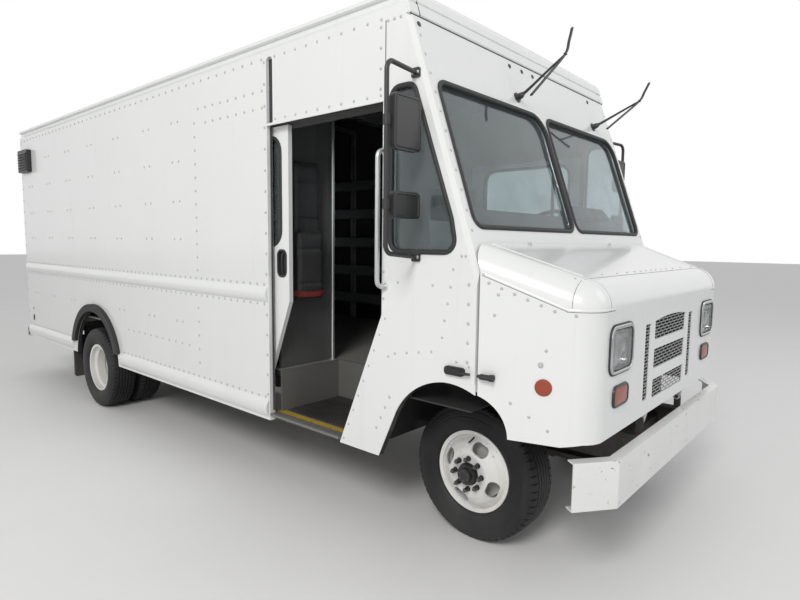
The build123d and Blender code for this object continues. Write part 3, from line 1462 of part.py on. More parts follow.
# Mirrors: a bent tube on two brackets, carrying a flat and a wide-angle head
mirror_x = body_half + 241.0
mirror_y = front_axle_y + 85.0
mirror_bracket_y = front_axle_y + 120.0
mirror_tube_radius = 11.0
mirror_top_z = wall_top - 316.0
mirror_bottom_z = 1515.0
mirror_head_width = 180.0
mirror_head_depth = 30.0
mirror_head_x = mirror_x - 20.0 - mirror_head_width / 2
mirror_span = mirror_top_z - mirror_bottom_z
# columns: middle height, height
mirror_heads = [(mirror_bottom_z + 0.701 * mirror_span, 242.0), (mirror_bottom_z + 0.276 * mirror_span, 120.0)]
with BuildPart() as mirror_arm:
    with BuildLine():
        FilletPolyline(
            [
                (-body_half - 4.0, mirror_bracket_y, mirror_top_z), (-mirror_x, mirror_y, mirror_top_z),
                (-mirror_x, mirror_y, mirror_bottom_z + 20.0),
                (-body_half - 4.0, mirror_bracket_y - 15.0, mirror_bottom_z),
            ],
            radius=45.0,
        )
    arm_plane = Plane(origin=(-body_half - 4.0, mirror_bracket_y, mirror_top_z), z_dir=(-1, -0.145, 0))
    with BuildSketch(arm_plane):
        Circle(mirror_tube_radius)
    sweep()
    for bracket_y, bracket_z in ((mirror_bracket_y, mirror_top_z), (mirror_bracket_y - 15.0, mirror_bottom_z)):
        with BuildSketch(Plane.YZ.offset(-body_half)):
            with Locations((bracket_y, bracket_z)):
                RectangleRounded(50.0, 44.0, 8.0)
        extrude(amount=-10.0)
    for middle_z, height in mirror_heads:
        with BuildSketch(Plane.XZ.offset(-mirror_y)):
            with Locations((-mirror_head_x, middle_z)):
                RectangleRounded(mirror_head_width, height, 22.0)
        extrude(amount=mirror_head_depth)
        with BuildSketch(Plane.XZ.offset(-mirror_y)):
            with Locations((-mirror_x + 15.0, middle_z)):
                Rectangle(40.0, 40.0)
        extrude(amount=mirror_tube_radius + 4.0)
save_pair(mirror_arm.part, "mirror")
glass_pieces = []
for middle_z, height in mirror_heads:
    with BuildPart() as mirror_glass:
        with BuildSketch(Plane.XZ.offset(-mirror_y - 3.0)):
            with Locations((-mirror_head_x + 8.0, middle_z)):
                RectangleRounded(mirror_head_width - 28.0, height - 14.0, 16.0)
        extrude(amount=3.0)
    glass_pieces += [mirror_glass.part, mirrored(mirror_glass.part)]
save(Compound(children=glass_pieces), "mirror_glasses")

# Grab handles beside the doors
handle_y = front_axle_y + 312.0
handle_out = 55.0
grab_radius = 12.0
grab_top = door_head - 246.0
grab_bottom = 1361.0
with BuildPart() as grab_handle:
    with BuildLine():
        FilletPolyline(
            [
                (-body_half, handle_y, grab_top), (-body_half - handle_out, handle_y, grab_top),
                (-body_half - handle_out, handle_y, grab_bottom), (-body_half, handle_y, grab_bottom),
            ],
            radius=35.0,
        )
    with BuildSketch(Plane(origin=(-body_half, handle_y, grab_top), z_dir=(-1, 0, 0))):
        Circle(grab_radius)
    sweep()
save(both(grab_handle.part), "grab_handles")


def rod(start, end, radius):
    """A round bar between two points."""
    along = Vector(*end) - Vector(*start)
    with BuildPart() as made:
        with BuildSketch(Plane(origin=start, z_dir=along)):
            Circle(radius)
        extrude(amount=along.length)
    return made.part


# Wipers, swung up off the glass. Columns: pivot x, then the arm's end and the blade's lower end and tip,
# each as x, the distance from the front axle and the rise over the pivot
wiper_pivot_z = wall_top - 266.0
wiper_table = [
    (-277.0, (-74.0, -100.0, 255.0), (-380.0, -60.0, -26.0), (-17.0, -110.0, 418.0)),
    (792.0, (995.0, -160.0, 185.0), (692.0, -60.0, -40.0), (1063.0, -200.0, 322.0)),
]
arm_radius = 7.0
blade_radius = 6.0
wiper_solids = []
for pivot_x, arm_end, blade_low, blade_tip in wiper_table:
    base = (pivot_x, rake_y(wiper_pivot_z), wiper_pivot_z)
    head = (pivot_x, base[1] - 24.0, wiper_pivot_z + 24.0 * rake_slope)
    ends = [(x, front_axle_y + y, wiper_pivot_z + rise) for x, y, rise in (arm_end, blade_low, blade_tip)]
    wiper = rod(base, head, 20.0) + rod(head, ends[0], arm_radius)
    wiper += rod(ends[0], ends[1], blade_radius) + rod(ends[0], ends[2], blade_radius)
    wiper += Pos(*ends[0]) * Sphere(arm_radius + 2.0)
    wiper += Pos(*head) * Sphere(arm_radius + 4.0)
    wiper_solids.append(wiper)
save(Compound(children=wiper_solids), "wipers")

# Tail lamps on the rear frame, and the louvred vent high on the right side
lamp_radius = 52.0
tail_lamp_x = body_half - 66.0
tail_lamp_heights = [640.0, 770.0]
with BuildPart() as tail_lamp:
    for height in tail_lamp_heights:
        with BuildSketch(Plane.XZ.offset(-body_rear_y)):
            with Locations((-tail_lamp_x, height)):
                Circle(lamp_radius)
        extrude(amount=-22.0)
save(both(tail_lamp.part), "tail_lamps")
vent_front_y = body_rear_y - 360.0
vent_length = 310.0
vent_bottom = wall_top - 372.0
vent_height = 240.0
vent_depth = 45.0
with BuildPart() as side_vent:
    with BuildSketch(Plane.YZ.offset(-body_half - vent_depth)):
        with Locations((vent_front_y + vent_length / 2, vent_bottom + vent_height / 2)):
            RectangleRounded(vent_length, vent_height, 18.0)
    extrude(amount=vent_depth)
save(side_vent.part, "side_vent")
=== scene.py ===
import bmesh
import bpy
import math
import numpy as np
from mathutils import Matrix, Vector
from mathutils.bvhtree import BVHTree


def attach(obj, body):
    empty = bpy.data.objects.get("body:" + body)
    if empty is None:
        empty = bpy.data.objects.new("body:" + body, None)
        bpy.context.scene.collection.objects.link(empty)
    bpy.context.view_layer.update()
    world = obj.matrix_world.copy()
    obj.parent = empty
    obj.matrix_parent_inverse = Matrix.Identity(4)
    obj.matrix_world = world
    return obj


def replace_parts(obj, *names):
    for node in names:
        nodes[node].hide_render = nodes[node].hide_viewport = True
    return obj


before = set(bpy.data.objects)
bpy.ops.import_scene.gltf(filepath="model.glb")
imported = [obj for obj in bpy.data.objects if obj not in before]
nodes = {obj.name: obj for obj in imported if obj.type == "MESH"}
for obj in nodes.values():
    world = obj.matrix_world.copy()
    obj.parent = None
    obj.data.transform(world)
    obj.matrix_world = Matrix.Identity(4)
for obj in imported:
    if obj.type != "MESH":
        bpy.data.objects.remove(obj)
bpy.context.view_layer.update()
print("frame loaded:", len(nodes), "nodes")

# Lengths are in metres. Every place below is written with y measured from the front axle,
# and makePiece moves it to the row's frame.
axleY = -2.65
wheelBase = 4.0
axleZ = 0.372
bodyHalf = 1.144
rakeSlope = 0.347
rakeLow, rakeHigh = 0.06, 2.327     # a place on the raked front: y and z
sides = (("right", -1), ("left", 1))


def rakeY(z):
    # the raked front: y grows by the slope for each metre of height
    return rakeLow + rakeSlope * (z - rakeHigh)


# node helpers

def addNode(tree, kind, links=(), **settings):
    # links are (socket name or index, value or output socket)
    node = tree.nodes.new(kind)
    for key, value in settings.items():
        setattr(node, key, value)
    for socket, value in links:
        if isinstance(value, bpy.types.NodeSocket):
            tree.links.new(value, node.inputs[socket])
        else:
            node.inputs[socket].default_value = value
    return node


def nodeMath(operation):
    # a maths node written as a function of its inputs; it goes into the tree of the first socket among them
    def build(a, b=0.0, clamp=False):
        socket = a if isinstance(a, bpy.types.NodeSocket) else b
        return addNode(socket.id_data, "ShaderNodeMath", [(0, a), (1, b)], operation=operation,
            use_clamp=clamp).outputs[0]
    return build


plus, minus, times, over, raised = [nodeMath(kind) for kind in ("ADD", "SUBTRACT", "MULTIPLY", "DIVIDE", "POWER")]
mathKinds = ("GREATER_THAN", "LESS_THAN", "MAXIMUM", "MINIMUM")
isAbove, isBelow, largest, smallest = [nodeMath(kind) for kind in mathKinds]
sizeOf, rootOf, cosineOf, angleOf = [nodeMath(kind) for kind in ("ABSOLUTE", "SQRT", "COSINE", "ARCTAN2")]


def mixColour(factor, a, b):
    return addNode(factor.id_data, "ShaderNodeMix", [(0, factor), (6, a), (7, b)], data_type="RGBA").outputs[2]


def noiseOf(vector, scale, detail=3.0, rough=0.55):
    inputs = [("Vector", vector), ("Scale", scale), ("Detail", detail), ("Roughness", rough)]
    return addNode(vector.id_data, "ShaderNodeTexNoise", inputs).outputs[0]


def ramp(value, low, high):
    # 0 under low, 1 over high, smooth between
    return addNode(value.id_data, "ShaderNodeMapRange", [("Value", value), ("From Min", low), ("From Max", high)],
        interpolation_type="SMOOTHSTEP").outputs[0]


def placeOf(tree):
    return addNode(tree, "ShaderNodeTexCoord").outputs["Object"]


def splitPlace(place):
    return addNode(place.id_data, "ShaderNodeSeparateXYZ", [(0, place)]).outputs


def bumpOn(tree, shader, height, strength, distance):
    bump = addNode(tree, "ShaderNodeBump", [("Height", height), ("Strength", strength), ("Distance", distance)])
    tree.links.new(bump.outputs[0], shader.inputs["Normal"])


def newMaterial(name):
    material = bpy.data.materials.new(name)
    material.use_nodes = True
    return material, material.node_tree, material.node_tree.nodes["Principled BSDF"]


def setInputs(node, values):
    for label, value in values.items():
        node.inputs[label].default_value = value


def newGroup(name, inputs, outputs):
    # inputs give a first value for each label, of four numbers for a colour; outputs give a socket type
    group = bpy.data.node_groups.new(name, "ShaderNodeTree")
    for label, value in inputs.items():
        kind = "NodeSocketColor" if isinstance(value, tuple) else "NodeSocketFloat"
        group.interface.new_socket(name=label, in_out="INPUT", socket_type=kind).default_value = value
    for label, kind in outputs.items():
        group.interface.new_socket(name=label, in_out="OUTPUT", socket_type=kind)
    return group, group.nodes.new("NodeGroupInput"), group.nodes.new("NodeGroupOutput")


def makeWeathering():
    # road dust that thickens towards the ground, thin rain streaks, faint tone changes and rust specks
    inputs = {"Paint": (0.8, 0.8, 0.8, 1.0), "Dust": (0.3, 0.26, 0.21, 1.0), "Dust Height": 0.9,
        "Dust Amount": 0.35, "Streaks": 0.15, "Rust": 0.0, "Tone": 0.04, "Gloss Roughness": 0.3}
    outputs = {"Colour": "NodeSocketColor", "Roughness": "NodeSocketFloat", "Height": "NodeSocketFloat"}
    group, given, result = newGroup("weathering", inputs, outputs)
    place = placeOf(group)
    low = minus(1.0, over(splitPlace(place)[2], given.outputs["Dust Height"]), clamp=True)
    cloud = noiseOf(place, 5.0, 6.0, 0.62)
    dusty = times(raised(low, 1.6), ramp(cloud, 0.25, 0.75))
    dusty = times(dusty, given.outputs["Dust Amount"])
    rain = addNode(group, "ShaderNodeMapping", [("Vector", place), ("Scale", (22.0, 22.0, 0.9))]).outputs[0]
    run = noiseOf(rain, 1.0, 4.0, 0.5)
    streak = times(ramp(run, 0.56, 0.78), given.outputs["Streaks"])
    dirt = plus(dusty, streak, clamp=True)
    tone = noiseOf(place, 1.3, 2.0)
    toned = mixColour(times(ramp(tone, 0.35, 0.7), given.outputs["Tone"]), given.outputs["Paint"],
        (0.35, 0.36, 0.36, 1.0))
    dirtied = mixColour(dirt, toned, given.outputs["Dust"])
    speck = ramp(noiseOf(place, 38.0, 5.0, 0.6), 0.6, 0.68)
    patch = ramp(noiseOf(place, 6.0, 3.0), 0.5, 0.62)
    rusty = times(times(speck, patch), given.outputs["Rust"], clamp=True)
    rustTone = mixColour(noiseOf(place, 90.0, 2.0), (0.16, 0.06, 0.02, 1.0), (0.36, 0.15, 0.05, 1.0))
    group.links.new(mixColour(rusty, dirtied, rustTone), result.inputs["Colour"])
    rough = plus(given.outputs["Gloss Roughness"], times(dirt, 0.45))
    rough = plus(rough, times(rusty, 0.4), clamp=True)
    group.links.new(rough, result.inputs["Roughness"])
    grain = times(noiseOf(place, 160.0, 2.0), 0.5)
    wave = noiseOf(place, 7.0, 1.0)
    lift = plus(plus(grain, wave), times(rusty, 0.8))
    group.links.new(lift, result.inputs["Height"])
    return group


weathering = makeWeathering()


def weatheredMaterial(name, look):
    # look: paint, gloss and the group's own inputs; the rest is set on the shader's sockets
    material, tree, shader = newMaterial(name)
    setInputs(shader, {"Metallic": look.get("metal", 0.0), "Coat Weight": look.get("coat", 0.0),
            "Coat Roughness": 0.08, "Specular IOR Level": look.get("shine", 0.5)})
    worn = tree.nodes.new("ShaderNodeGroup")
    worn.node_tree = weathering
    setInputs(worn, {"Paint": (*look["paint"], 1.0), "Gloss Roughness": look.get("rough", 0.4)})
    setInputs(worn, {label: look[label] for label in worn.inputs.keys() if label in look})
    colour, roughness = worn.outputs["Colour"], worn.outputs["Roughness"]
    if "inner" in look:
        share, tone, dull = look["inner"](tree)
        colour = mixColour(share, colour, tone)
        roughness = addNode(tree, "ShaderNodeMix", [(0, share), (2, roughness), (3, dull)]).outputs[0]
    tree.links.new(colour, shader.inputs["Base Color"])
    tree.links.new(roughness, shader.inputs["Roughness"])
    bumpOn(tree, shader, worn.outputs["Height"], look.get("bump", 0.05), 0.004)
    return material


def glassMaterial(name, colour, roughness, ribs=0.0):
    # clear or coloured glass; ribs gives the fluting of a lamp lens
    material, tree, shader = newMaterial(name)
    setInputs(shader, {"Transmission Weight": 0.9, "IOR": 1.45})
    place = placeOf(tree)
    film = noiseOf(place, 4.0, 5.0, 0.6)
    tint = mixColour(ramp(film, 0.35, 0.8), (*colour, 1.0), (*[c * 0.82 for c in colour], 1.0))
    tree.links.new(tint, shader.inputs["Base Color"])
    haze = plus(times(ramp(film, 0.45, 0.9), 0.08), roughness)
    tree.links.new(haze, shader.inputs["Roughness"])
    if ribs:
        wave = addNode(tree, "ShaderNodeTexWave", [("Vector", place), ("Scale", ribs), ("Distortion", 0.0)],
            wave_type="BANDS", bands_direction="X").outputs[1]
        bumpOn(tree, shader, wave, 0.6, 0.003)
    return material


# where the colours of one piece change
maskPlaces = {
    "innerX": 1.1043, "innerRearY": 5.925, "innerRoofZ": 2.764, "behindRake": 0.025, "cowlY": -0.215,
    # the height under which inner sides turn black, and the arch radius and side, bound painted shade in the wheel
    # houses and on the arch edges
    "shadeBelow": 0.96, "shadedArchRadius": 0.6, "shadedArchX": 1.139, "floorTop": 0.762, "stripeX": (1.0375, 1.0825),
    "stripeTop": 0.5005,
    "nutCircle": 0.0825, "nutRadius": (0.0145, 0.016), "brakeDust": (0.085, 0.112),
}


def hubMask(axisY, outer, nutX):
    # a wheel turns black within a radius round its axle, and so do its nuts, which lie outside nutX
    def paintHub(tree):
        place = placeOf(tree)
        x, y, z = splitPlace(place)
        dy, dz = minus(y, axisY + axleY), minus(z, axleZ)
        squares = plus(times(dy, dy), times(dz, dz))
        radius = rootOf(squares)
        wobbly = plus(radius, times(noiseOf(place, 40.0), 0.004))
        inside = ramp(wobbly, outer + 0.004, outer)
        # distance to the nearest nut, squared: r^2 + R^2 - 2 r R cos(angle folded to one eighth of a turn)
        circle, (nutLow, nutHigh) = maskPlaces["nutCircle"], maskPlaces["nutRadius"]
        folded = addNode(tree, "ShaderNodeMath", [(0, angleOf(dz, dy)), (1, math.pi / 8), (2, -math.pi / 8)],
            operation="WRAP").outputs[0]
        near = plus(plus(squares, circle ** 2), times(cosineOf(folded), times(radius, -2 * circle)))
        nut = times(ramp(near, nutHigh ** 2, nutLow ** 2), isAbove(sizeOf(x), nutX))
        # brake dust lies thinly round the nuts
        dustLow, dustHigh = maskPlaces["brakeDust"]
        inside = largest(largest(inside, nut), times(ramp(wobbly, dustHigh, dustLow), 0.22))
        return inside, (0.02, 0.02, 0.021, 1.0), 0.5
    return paintHub


def stripeMask(tone):
    # painted edge on the step tread
    def paintEdge(tree):
        place = placeOf(tree)
        x, y, z = splitPlace(place)
        side = sizeOf(x)
        (low, high), stripeBlur = maskPlaces["stripeX"], 0.0025
        band = times(ramp(side, low - stripeBlur, low + stripeBlur),
            ramp(side, high + stripeBlur, high - stripeBlur))
        band = times(band, isBelow(z, maskPlaces["stripeTop"]))
        worn = ramp(noiseOf(place, 30.0, 4.0), 0.68, 0.55)
        return times(band, worn), tone, 0.6
    return paintEdge


def linerAndShadeMask(tree):
    # panels turn liner grey on their inner side, and black under the floor line: painted shade in the wheel houses
    x, y, z = splitPlace(placeOf(tree))
    bounds = maskPlaces
    raked = plus(times(minus(z, rakeHigh), rakeSlope), rakeLow + axleY + bounds["behindRake"])
    raked = largest(raked, bounds["cowlY"] + axleY)
    side = sizeOf(x)
    inner = times(isBelow(side, bounds["innerX"]), isAbove(y, raked))
    inner = times(inner, isBelow(y, bounds["innerRearY"] + axleY))
    inner = times(inner, isBelow(z, bounds["innerRoofZ"]))
    # painted shade on the edges of the wheel arches, within a radius round each axle and behind the sheet's face
    dy = minus(y, axleY)
    dy = smallest(sizeOf(dy), sizeOf(minus(dy, wheelBase)))
    dz = minus(z, axleZ)
    reach = rootOf(plus(times(dy, dy), times(dz, dz)))
    shadedArch = times(isBelow(reach, bounds["shadedArchRadius"]), isBelow(side, bounds["shadedArchX"]))
    inner = largest(inner, shadedArch)
    # black below the floor line is painted shade; the liner grey above it is the lining's own colour
    linerAndShade = mixColour(isBelow(z, bounds["shadeBelow"]), (0.085, 0.087, 0.085, 1.0), (0.02, 0.02, 0.02, 1.0))
    return inner, linerAndShade, 0.85


def underMask(tree):
    # black undercoat below the floor's top
    outer = isBelow(splitPlace(placeOf(tree))[2], maskPlaces["floorTop"])
    return outer, (0.022, 0.022, 0.022, 1.0), 0.85


finishes = {
    # panel white with liner grey inside, and painted shade in the wheel houses and on the arch edges
    "panelWhite": {"paint": (0.8, 0.815, 0.81), "rough": 0.24, "coat": 0.35, "Dust Amount": 0.16, "Streaks": 0.05,
        "Dust Height": 1.1, "Tone": 0.03, "bump": 0.035, "inner": linerAndShadeMask},
    # rivet heads darker than the panels: part worn paint, part painted shade
    "wornAndShadedGrey": {"paint": (0.5, 0.51, 0.51), "rough": 0.35, "coat": 0.3, "Dust Amount": 0.3, "Streaks": 0.2},
    "bodyWhite": {"paint": (0.8, 0.815, 0.81), "rough": 0.24, "coat": 0.35, "Dust Amount": 0.16, "Streaks": 0.05,
        "Dust Height": 1.1, "Tone": 0.03, "bump": 0.035},
    # grille grey, darker than the body's white: painted shade on its bars
    "grilleShadedGrey": {"paint": (0.3, 0.31, 0.31), "rough": 0.4, "coat": 0.2, "Dust Amount": 0.3, "Streaks": 0.1,
        "Dust Height": 1.4},
    "bumperWhite": {"paint": (0.79, 0.8, 0.79), "rough": 0.3, "coat": 0.3, "Rust": 0.9, "Streaks": 0.06,
        "Dust Amount": 0.3, "bump": 0.06},
    "wheelWhiteFront": {"paint": (0.8, 0.8, 0.78), "rough": 0.4, "coat": 0.15, "Dust Amount": 0.5, "Rust": 0.5,
        "Streaks": 0.1, "inner": hubMask(0.0, 0.061, 0.795), "bump": 0.08},
    "wheelWhiteRear": {"paint": (0.8, 0.8, 0.78), "rough": 0.4, "coat": 0.15, "Dust Amount": 0.5, "Rust": 0.5,
        "Streaks": 0.1, "inner": hubMask(wheelBase, 0.064, 0.915), "bump": 0.08},
    "tyreRubber": {"paint": (0.013, 0.013, 0.014), "rough": 0.55, "shine": 0.25, "Dust": (0.1, 0.09, 0.08, 1.0),
        "Dust Amount": 0.16, "Dust Height": 0.8, "Streaks": 0.1, "Tone": 0.1, "bump": 0.25},
    "chassisBlack": {"paint": (0.028, 0.027, 0.026), "rough": 0.6, "Rust": 1.0, "Dust Amount": 0.45, "Streaks": 0.1,
        "Dust Height": 1.3, "bump": 0.3},
    "castIron": {"paint": (0.1, 0.095, 0.09), "rough": 0.65, "metal": 0.4, "Rust": 0.7, "Dust Height": 1.4,
        "bump": 0.4},
    "exhaustSteel": {"paint": (0.32, 0.29, 0.27), "rough": 0.5, "metal": 0.8, "Rust": 1.0, "bump": 0.25},
    "millAluminium": {"paint": (0.52, 0.53, 0.53), "rough": 0.42, "metal": 0.85, "Dust Amount": 0.3,
        "Streaks": 0.15, "bump": 0.12},
    "stepAluminium": {"paint": (0.2, 0.2, 0.19), "rough": 0.55, "metal": 0.5, "Dust Amount": 0.6, "Streaks": 0.2,
        "inner": stripeMask((0.62, 0.42, 0.03, 1.0)), "bump": 0.3},
    "floorGrey": {"paint": (0.2, 0.2, 0.19), "rough": 0.7, "inner": underMask, "Dust Amount": 0.6,
        "Dust Height": 1.6, "bump": 0.25},
    "linerGrey": {"paint": (0.075, 0.077, 0.075), "rough": 0.6, "Dust Amount": 0.25, "bump": 0.15},
    "dashGrey": {"paint": (0.12, 0.122, 0.12), "rough": 0.55, "Dust Amount": 0.2, "Dust Height": 2.4, "bump": 0.35},
    "blackPlastic": {"paint": (0.018, 0.018, 0.019), "rough": 0.42, "Dust Amount": 0.2, "Streaks": 0.1,
        "bump": 0.15},
    "seatVinyl": {"paint": (0.024, 0.024, 0.026), "rough": 0.48, "Dust Amount": 0.15, "Dust Height": 2.4,
        "bump": 0.3},
    "blackRubber": {"paint": (0.016, 0.016, 0.017), "rough": 0.62, "Dust Amount": 0.35, "Streaks": 0.1,
        "bump": 0.12},
    "chromeBezel": {"paint": (0.5, 0.51, 0.52), "rough": 0.16, "metal": 1.0, "Dust Amount": 0.1, "bump": 0.02},
    "lampSilver": {"paint": (0.88, 0.89, 0.9), "rough": 0.1, "metal": 1.0, "Dust Amount": 0.02, "Streaks": 0.02,
        "bump": 0.0},
    "tankWhite": {"paint": (0.62, 0.62, 0.58), "rough": 0.45, "Dust Amount": 0.3, "Dust Height": 1.6},
    "brightSteel": {"paint": (0.6, 0.61, 0.61), "rough": 0.3, "metal": 0.9, "Dust Amount": 0.2, "bump": 0.05},
    "mirrorSilver": {"paint": (0.86, 0.87, 0.88), "rough": 0.03, "metal": 1.0, "Dust Amount": 0.02, "Streaks": 0.02,
        "Tone": 0.0, "bump": 0.0},
    # amber darkened to brick brown: painted shade on the lenses and reflectors
    "amberShadedLens": {"paint": (0.3, 0.04, 0.006), "rough": 0.3, "coat": 0.3, "Dust Amount": 0.1, "bump": 0.08},
    "redLens": {"paint": (0.5, 0.015, 0.015), "rough": 0.2, "coat": 0.8, "Dust Amount": 0.1, "bump": 0.08},
    "beltRed": {"paint": (0.2, 0.014, 0.01), "rough": 0.8, "Dust Amount": 0.1, "bump": 0.4},
    "dialFace": {"paint": (0.05, 0.05, 0.05), "rough": 0.3, "coat": 1.0, "Dust Amount": 0.0, "bump": 0.02},
}
materials = {name: weatheredMaterial(name, look) for name, look in finishes.items()}
materials["tintedGlass"] = glassMaterial("tintedGlass", (0.55, 0.64, 0.66), 0.0)
materials["lampGlass"] = glassMaterial("lampGlass", (0.95, 0.96, 0.97), 0.03, ribs=60.0)
print("materials made:", len(materials))

nodeFinish = {
    "panelWhite": "side_wall_right side_wall_left roof cab_front cab_side_right cab_side_left door_headers "
        "rear_frame",
    "bodyWhite": "rear_door_right rear_door_left door_right door_left hood_shell rub_rails",
    "grilleShadedGrey": "grille",
    "bumperWhite": "front_bumper rear_bumper",
    "wheelWhiteFront": "front_wheel_right front_wheel_left",
    "wheelWhiteRear": "rear_wheel_right rear_wheel_left",
    "tyreRubber": "front_tyre_right front_tyre_left rear_tyres_right rear_tyres_left",
    "chassisBlack": "chassis_frame front_axle knuckle_right knuckle_left rear_axle radiator fuel_tank",
    "castIron": "engine_block",
    "exhaustSteel": "exhaust",
    "stepAluminium": "step_wells",
    "floorGrey": "floor",
    "linerGrey": "bulkhead",
    "dashGrey": "engine_cover dashboard",
    "blackPlastic": "steering_wheel seat_base side_vent mirror_right mirror_left wipers",
    "seatVinyl": "driver_seat jump_seat",
    "blackRubber": "fender_flares mud_flaps",
    "tintedGlass": "cab_glass door_glass_right door_glass_left rear_door_glass_right rear_door_glass_left",
    "chromeBezel": "headlamps",
    "lampGlass": "headlamp_lenses",
    "mirrorSilver": "mirror_glasses",
    "brightSteel": "grab_handles",
    "amberShadedLens": "marker_lamps",
    "redLens": "tail_lamps",
}
for finish, names in nodeFinish.items():
    for nodeName in names.split():
        mesh = nodes[nodeName].data
        mesh.materials.clear()
        mesh.materials.append(materials[finish])


# shape helpers

def gridFaces(rows, columns, wrapRows=False, wrapColumns=False):
    # each face joins a grid point to its next neighbours along both parameters
    i = np.arange(rows if wrapRows else rows - 1)
    j = np.arange(columns if wrapColumns else columns - 1)
    a, b = np.meshgrid(i, j, indexing="ij")
    nextA, nextB = (a + 1) % rows, (b + 1) % columns
    quads = np.stack([a * columns + b, a * columns + nextB, nextA * columns + nextB, nextA * columns + b], axis=-1)
    return quads.reshape(-1, 4).tolist()


def gridPart(points, wrapRows=False, wrapColumns=False, capEnds=False):
    # points is (rows, columns, 3); capEnds closes the first and last row
    rows, columns = points.shape[:2]
    faces = gridFaces(rows, columns, wrapRows, wrapColumns)
    if capEnds:
        faces += [list(range(columns)), list(range((rows - 1) * columns, rows * columns))]
    return points.reshape(-1, 3), faces


def makePiece(name, parts, finish, body="van_body", smooth=0.6):
    # one object from (points, faces) parts, its doubles merged and its faces turned outwards
    mesh = bpy.data.meshes.new(name)
    points, faces, start = [], [], 0
    for partPoints, partFaces in parts:
        points.append(partPoints)
        faces += [[index + start for index in face] for face in partFaces]
        start += len(partPoints)
    placed = np.concatenate(points) + np.array([0.0, axleY, 0.0])
    mesh.from_pydata(placed.tolist(), [], faces)
    built = bmesh.new()
    built.from_mesh(mesh)
    bmesh.ops.remove_doubles(built, verts=built.verts, dist=1e-6)
    bmesh.ops.recalc_face_normals(built, faces=built.faces)
    built.to_mesh(mesh)
    built.free()
    mesh.polygons.foreach_set("use_smooth", [True] * len(mesh.polygons))
    mesh.set_sharp_from_angle(angle=smooth)
    mesh.materials.append(materials[finish])
    piece = bpy.data.objects.new(name, mesh)
    bpy.context.scene.collection.objects.link(piece)
    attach(piece, body)
    return piece


def mirrorParts(parts):
    return [(points * np.array([-1.0, 1.0, 1.0]), faces) for points, faces in parts]


def both(parts):
    return parts + mirrorParts(parts)


def fullTurn(steps):
    return np.linspace(0, 2 * np.pi, steps, endpoint=False)


def ellipse(width, height, steps):
    # half width times the cosine, half height times the sine
    angle = fullTurn(steps)
    return np.stack([np.cos(angle) * width, np.sin(angle) * height], axis=-1)


def unit(v):
    v = np.asarray(v, float)
    return v / np.linalg.norm(v, axis=-1, keepdims=True)


def roundedLoop(corners, radii, steps=7):
    # polygon with each corner replaced by an arc: centre on the bisector, points turned from one side to the next
    corners = np.asarray(corners, float)
    radii = np.broadcast_to(radii, len(corners))
    loop = []
    for index, corner in enumerate(corners):
        before = unit(corners[index - 1] - corner)
        after = unit(corners[(index + 1) % len(corners)] - corner)
        half = math.acos(float(np.clip(before @ after, -1, 1))) / 2
        reach = radii[index] / math.tan(half)
        centre = corner + unit(before + after) * radii[index] / math.sin(half)
        first, last = corner + before * reach - centre, corner + after * reach - centre
        t = np.linspace(0, 1, steps)[:, None]
        sweep = math.pi - 2 * half
        arc = (np.sin((1 - t) * sweep) * first + np.sin(t * sweep) * last) / math.sin(sweep)
        loop.append(centre + arc)
    return np.concatenate(loop)


def rectangle(width, height):
    return [(-width / 2, -height / 2), (width / 2, -height / 2), (width / 2, height / 2), (-width / 2, height / 2)]


def onPlane(loop, origin, across, upward):
    # a flat loop laid on a plane: origin plus its two coordinates along the plane's axes
    return np.asarray(origin) + loop[:, :1] * unit(across) + loop[:, 1:2] * unit(upward)


def plateLoop(width, height, corner, origin, across, upward):
    return onPlane(roundedLoop(rectangle(width, height), corner), origin, across, upward)


def edgeStrip(loop, normal, section):
    # a section carried round a closed loop: first number outwards in the loop's plane, second along its normal
    normal = unit(normal)
    along = unit(np.roll(loop, -1, axis=0) - np.roll(loop, 1, axis=0))
    outward = np.cross(along, normal)
    if np.sum(outward * (loop - loop.mean(axis=0))) < 0:
        outward = -outward
    section = np.asarray(section, float)
    points = loop[:, None, :] + outward[:, None, :] * section[None, :, :1] + normal * section[None, :, 1:2]
    return gridPart(points, wrapRows=True, wrapColumns=True)


def smoothPath(points, perRun=8):
    # Catmull-Rom curve through the points, sampled evenly in each run
    p = np.asarray(points, float)
    p = np.concatenate([[2 * p[0] - p[1]], p, [2 * p[-1] - p[-2]]])
    t = np.linspace(0, 1, perRun, endpoint=False)[:, None]
    runs = []
    for i in range(1, len(p) - 2):
        square = 2 * p[i - 1] - 5 * p[i] + 4 * p[i + 1] - p[i + 2]
        cube = 3 * p[i] - 3 * p[i + 1] + p[i + 2] - p[i - 1]
        runs.append(0.5 * (2 * p[i] + (p[i + 1] - p[i - 1]) * t + square * t ** 2 + cube * t ** 3))
    return np.concatenate(runs + [p[-2:-1]])


def tubePart(path, radius, sides=10, flat=1.0, upward=(0.0, 0.0, 1.0)):
    # a ring of points carried along a path, turned to stay square to it; flat squeezes it along its second axis
    path = np.asarray(path, float)
    along = unit(np.gradient(path, axis=0))
    side = unit(np.cross(along, np.asarray(upward) + 1e-4))
    lift = np.cross(side, along)
    angle = fullTurn(sides)
    radius = np.broadcast_to(radius, len(path))[:, None, None]
    ring = side[:, None, :] * np.cos(angle)[None, :, None] + lift[:, None, :] * np.sin(angle)[None, :, None] * flat
    return gridPart(path[:, None, :] + ring * radius, wrapColumns=True, capEnds=True)


def bentTube(points, *shape):
    return tubePart(smoothPath(points), *shape)


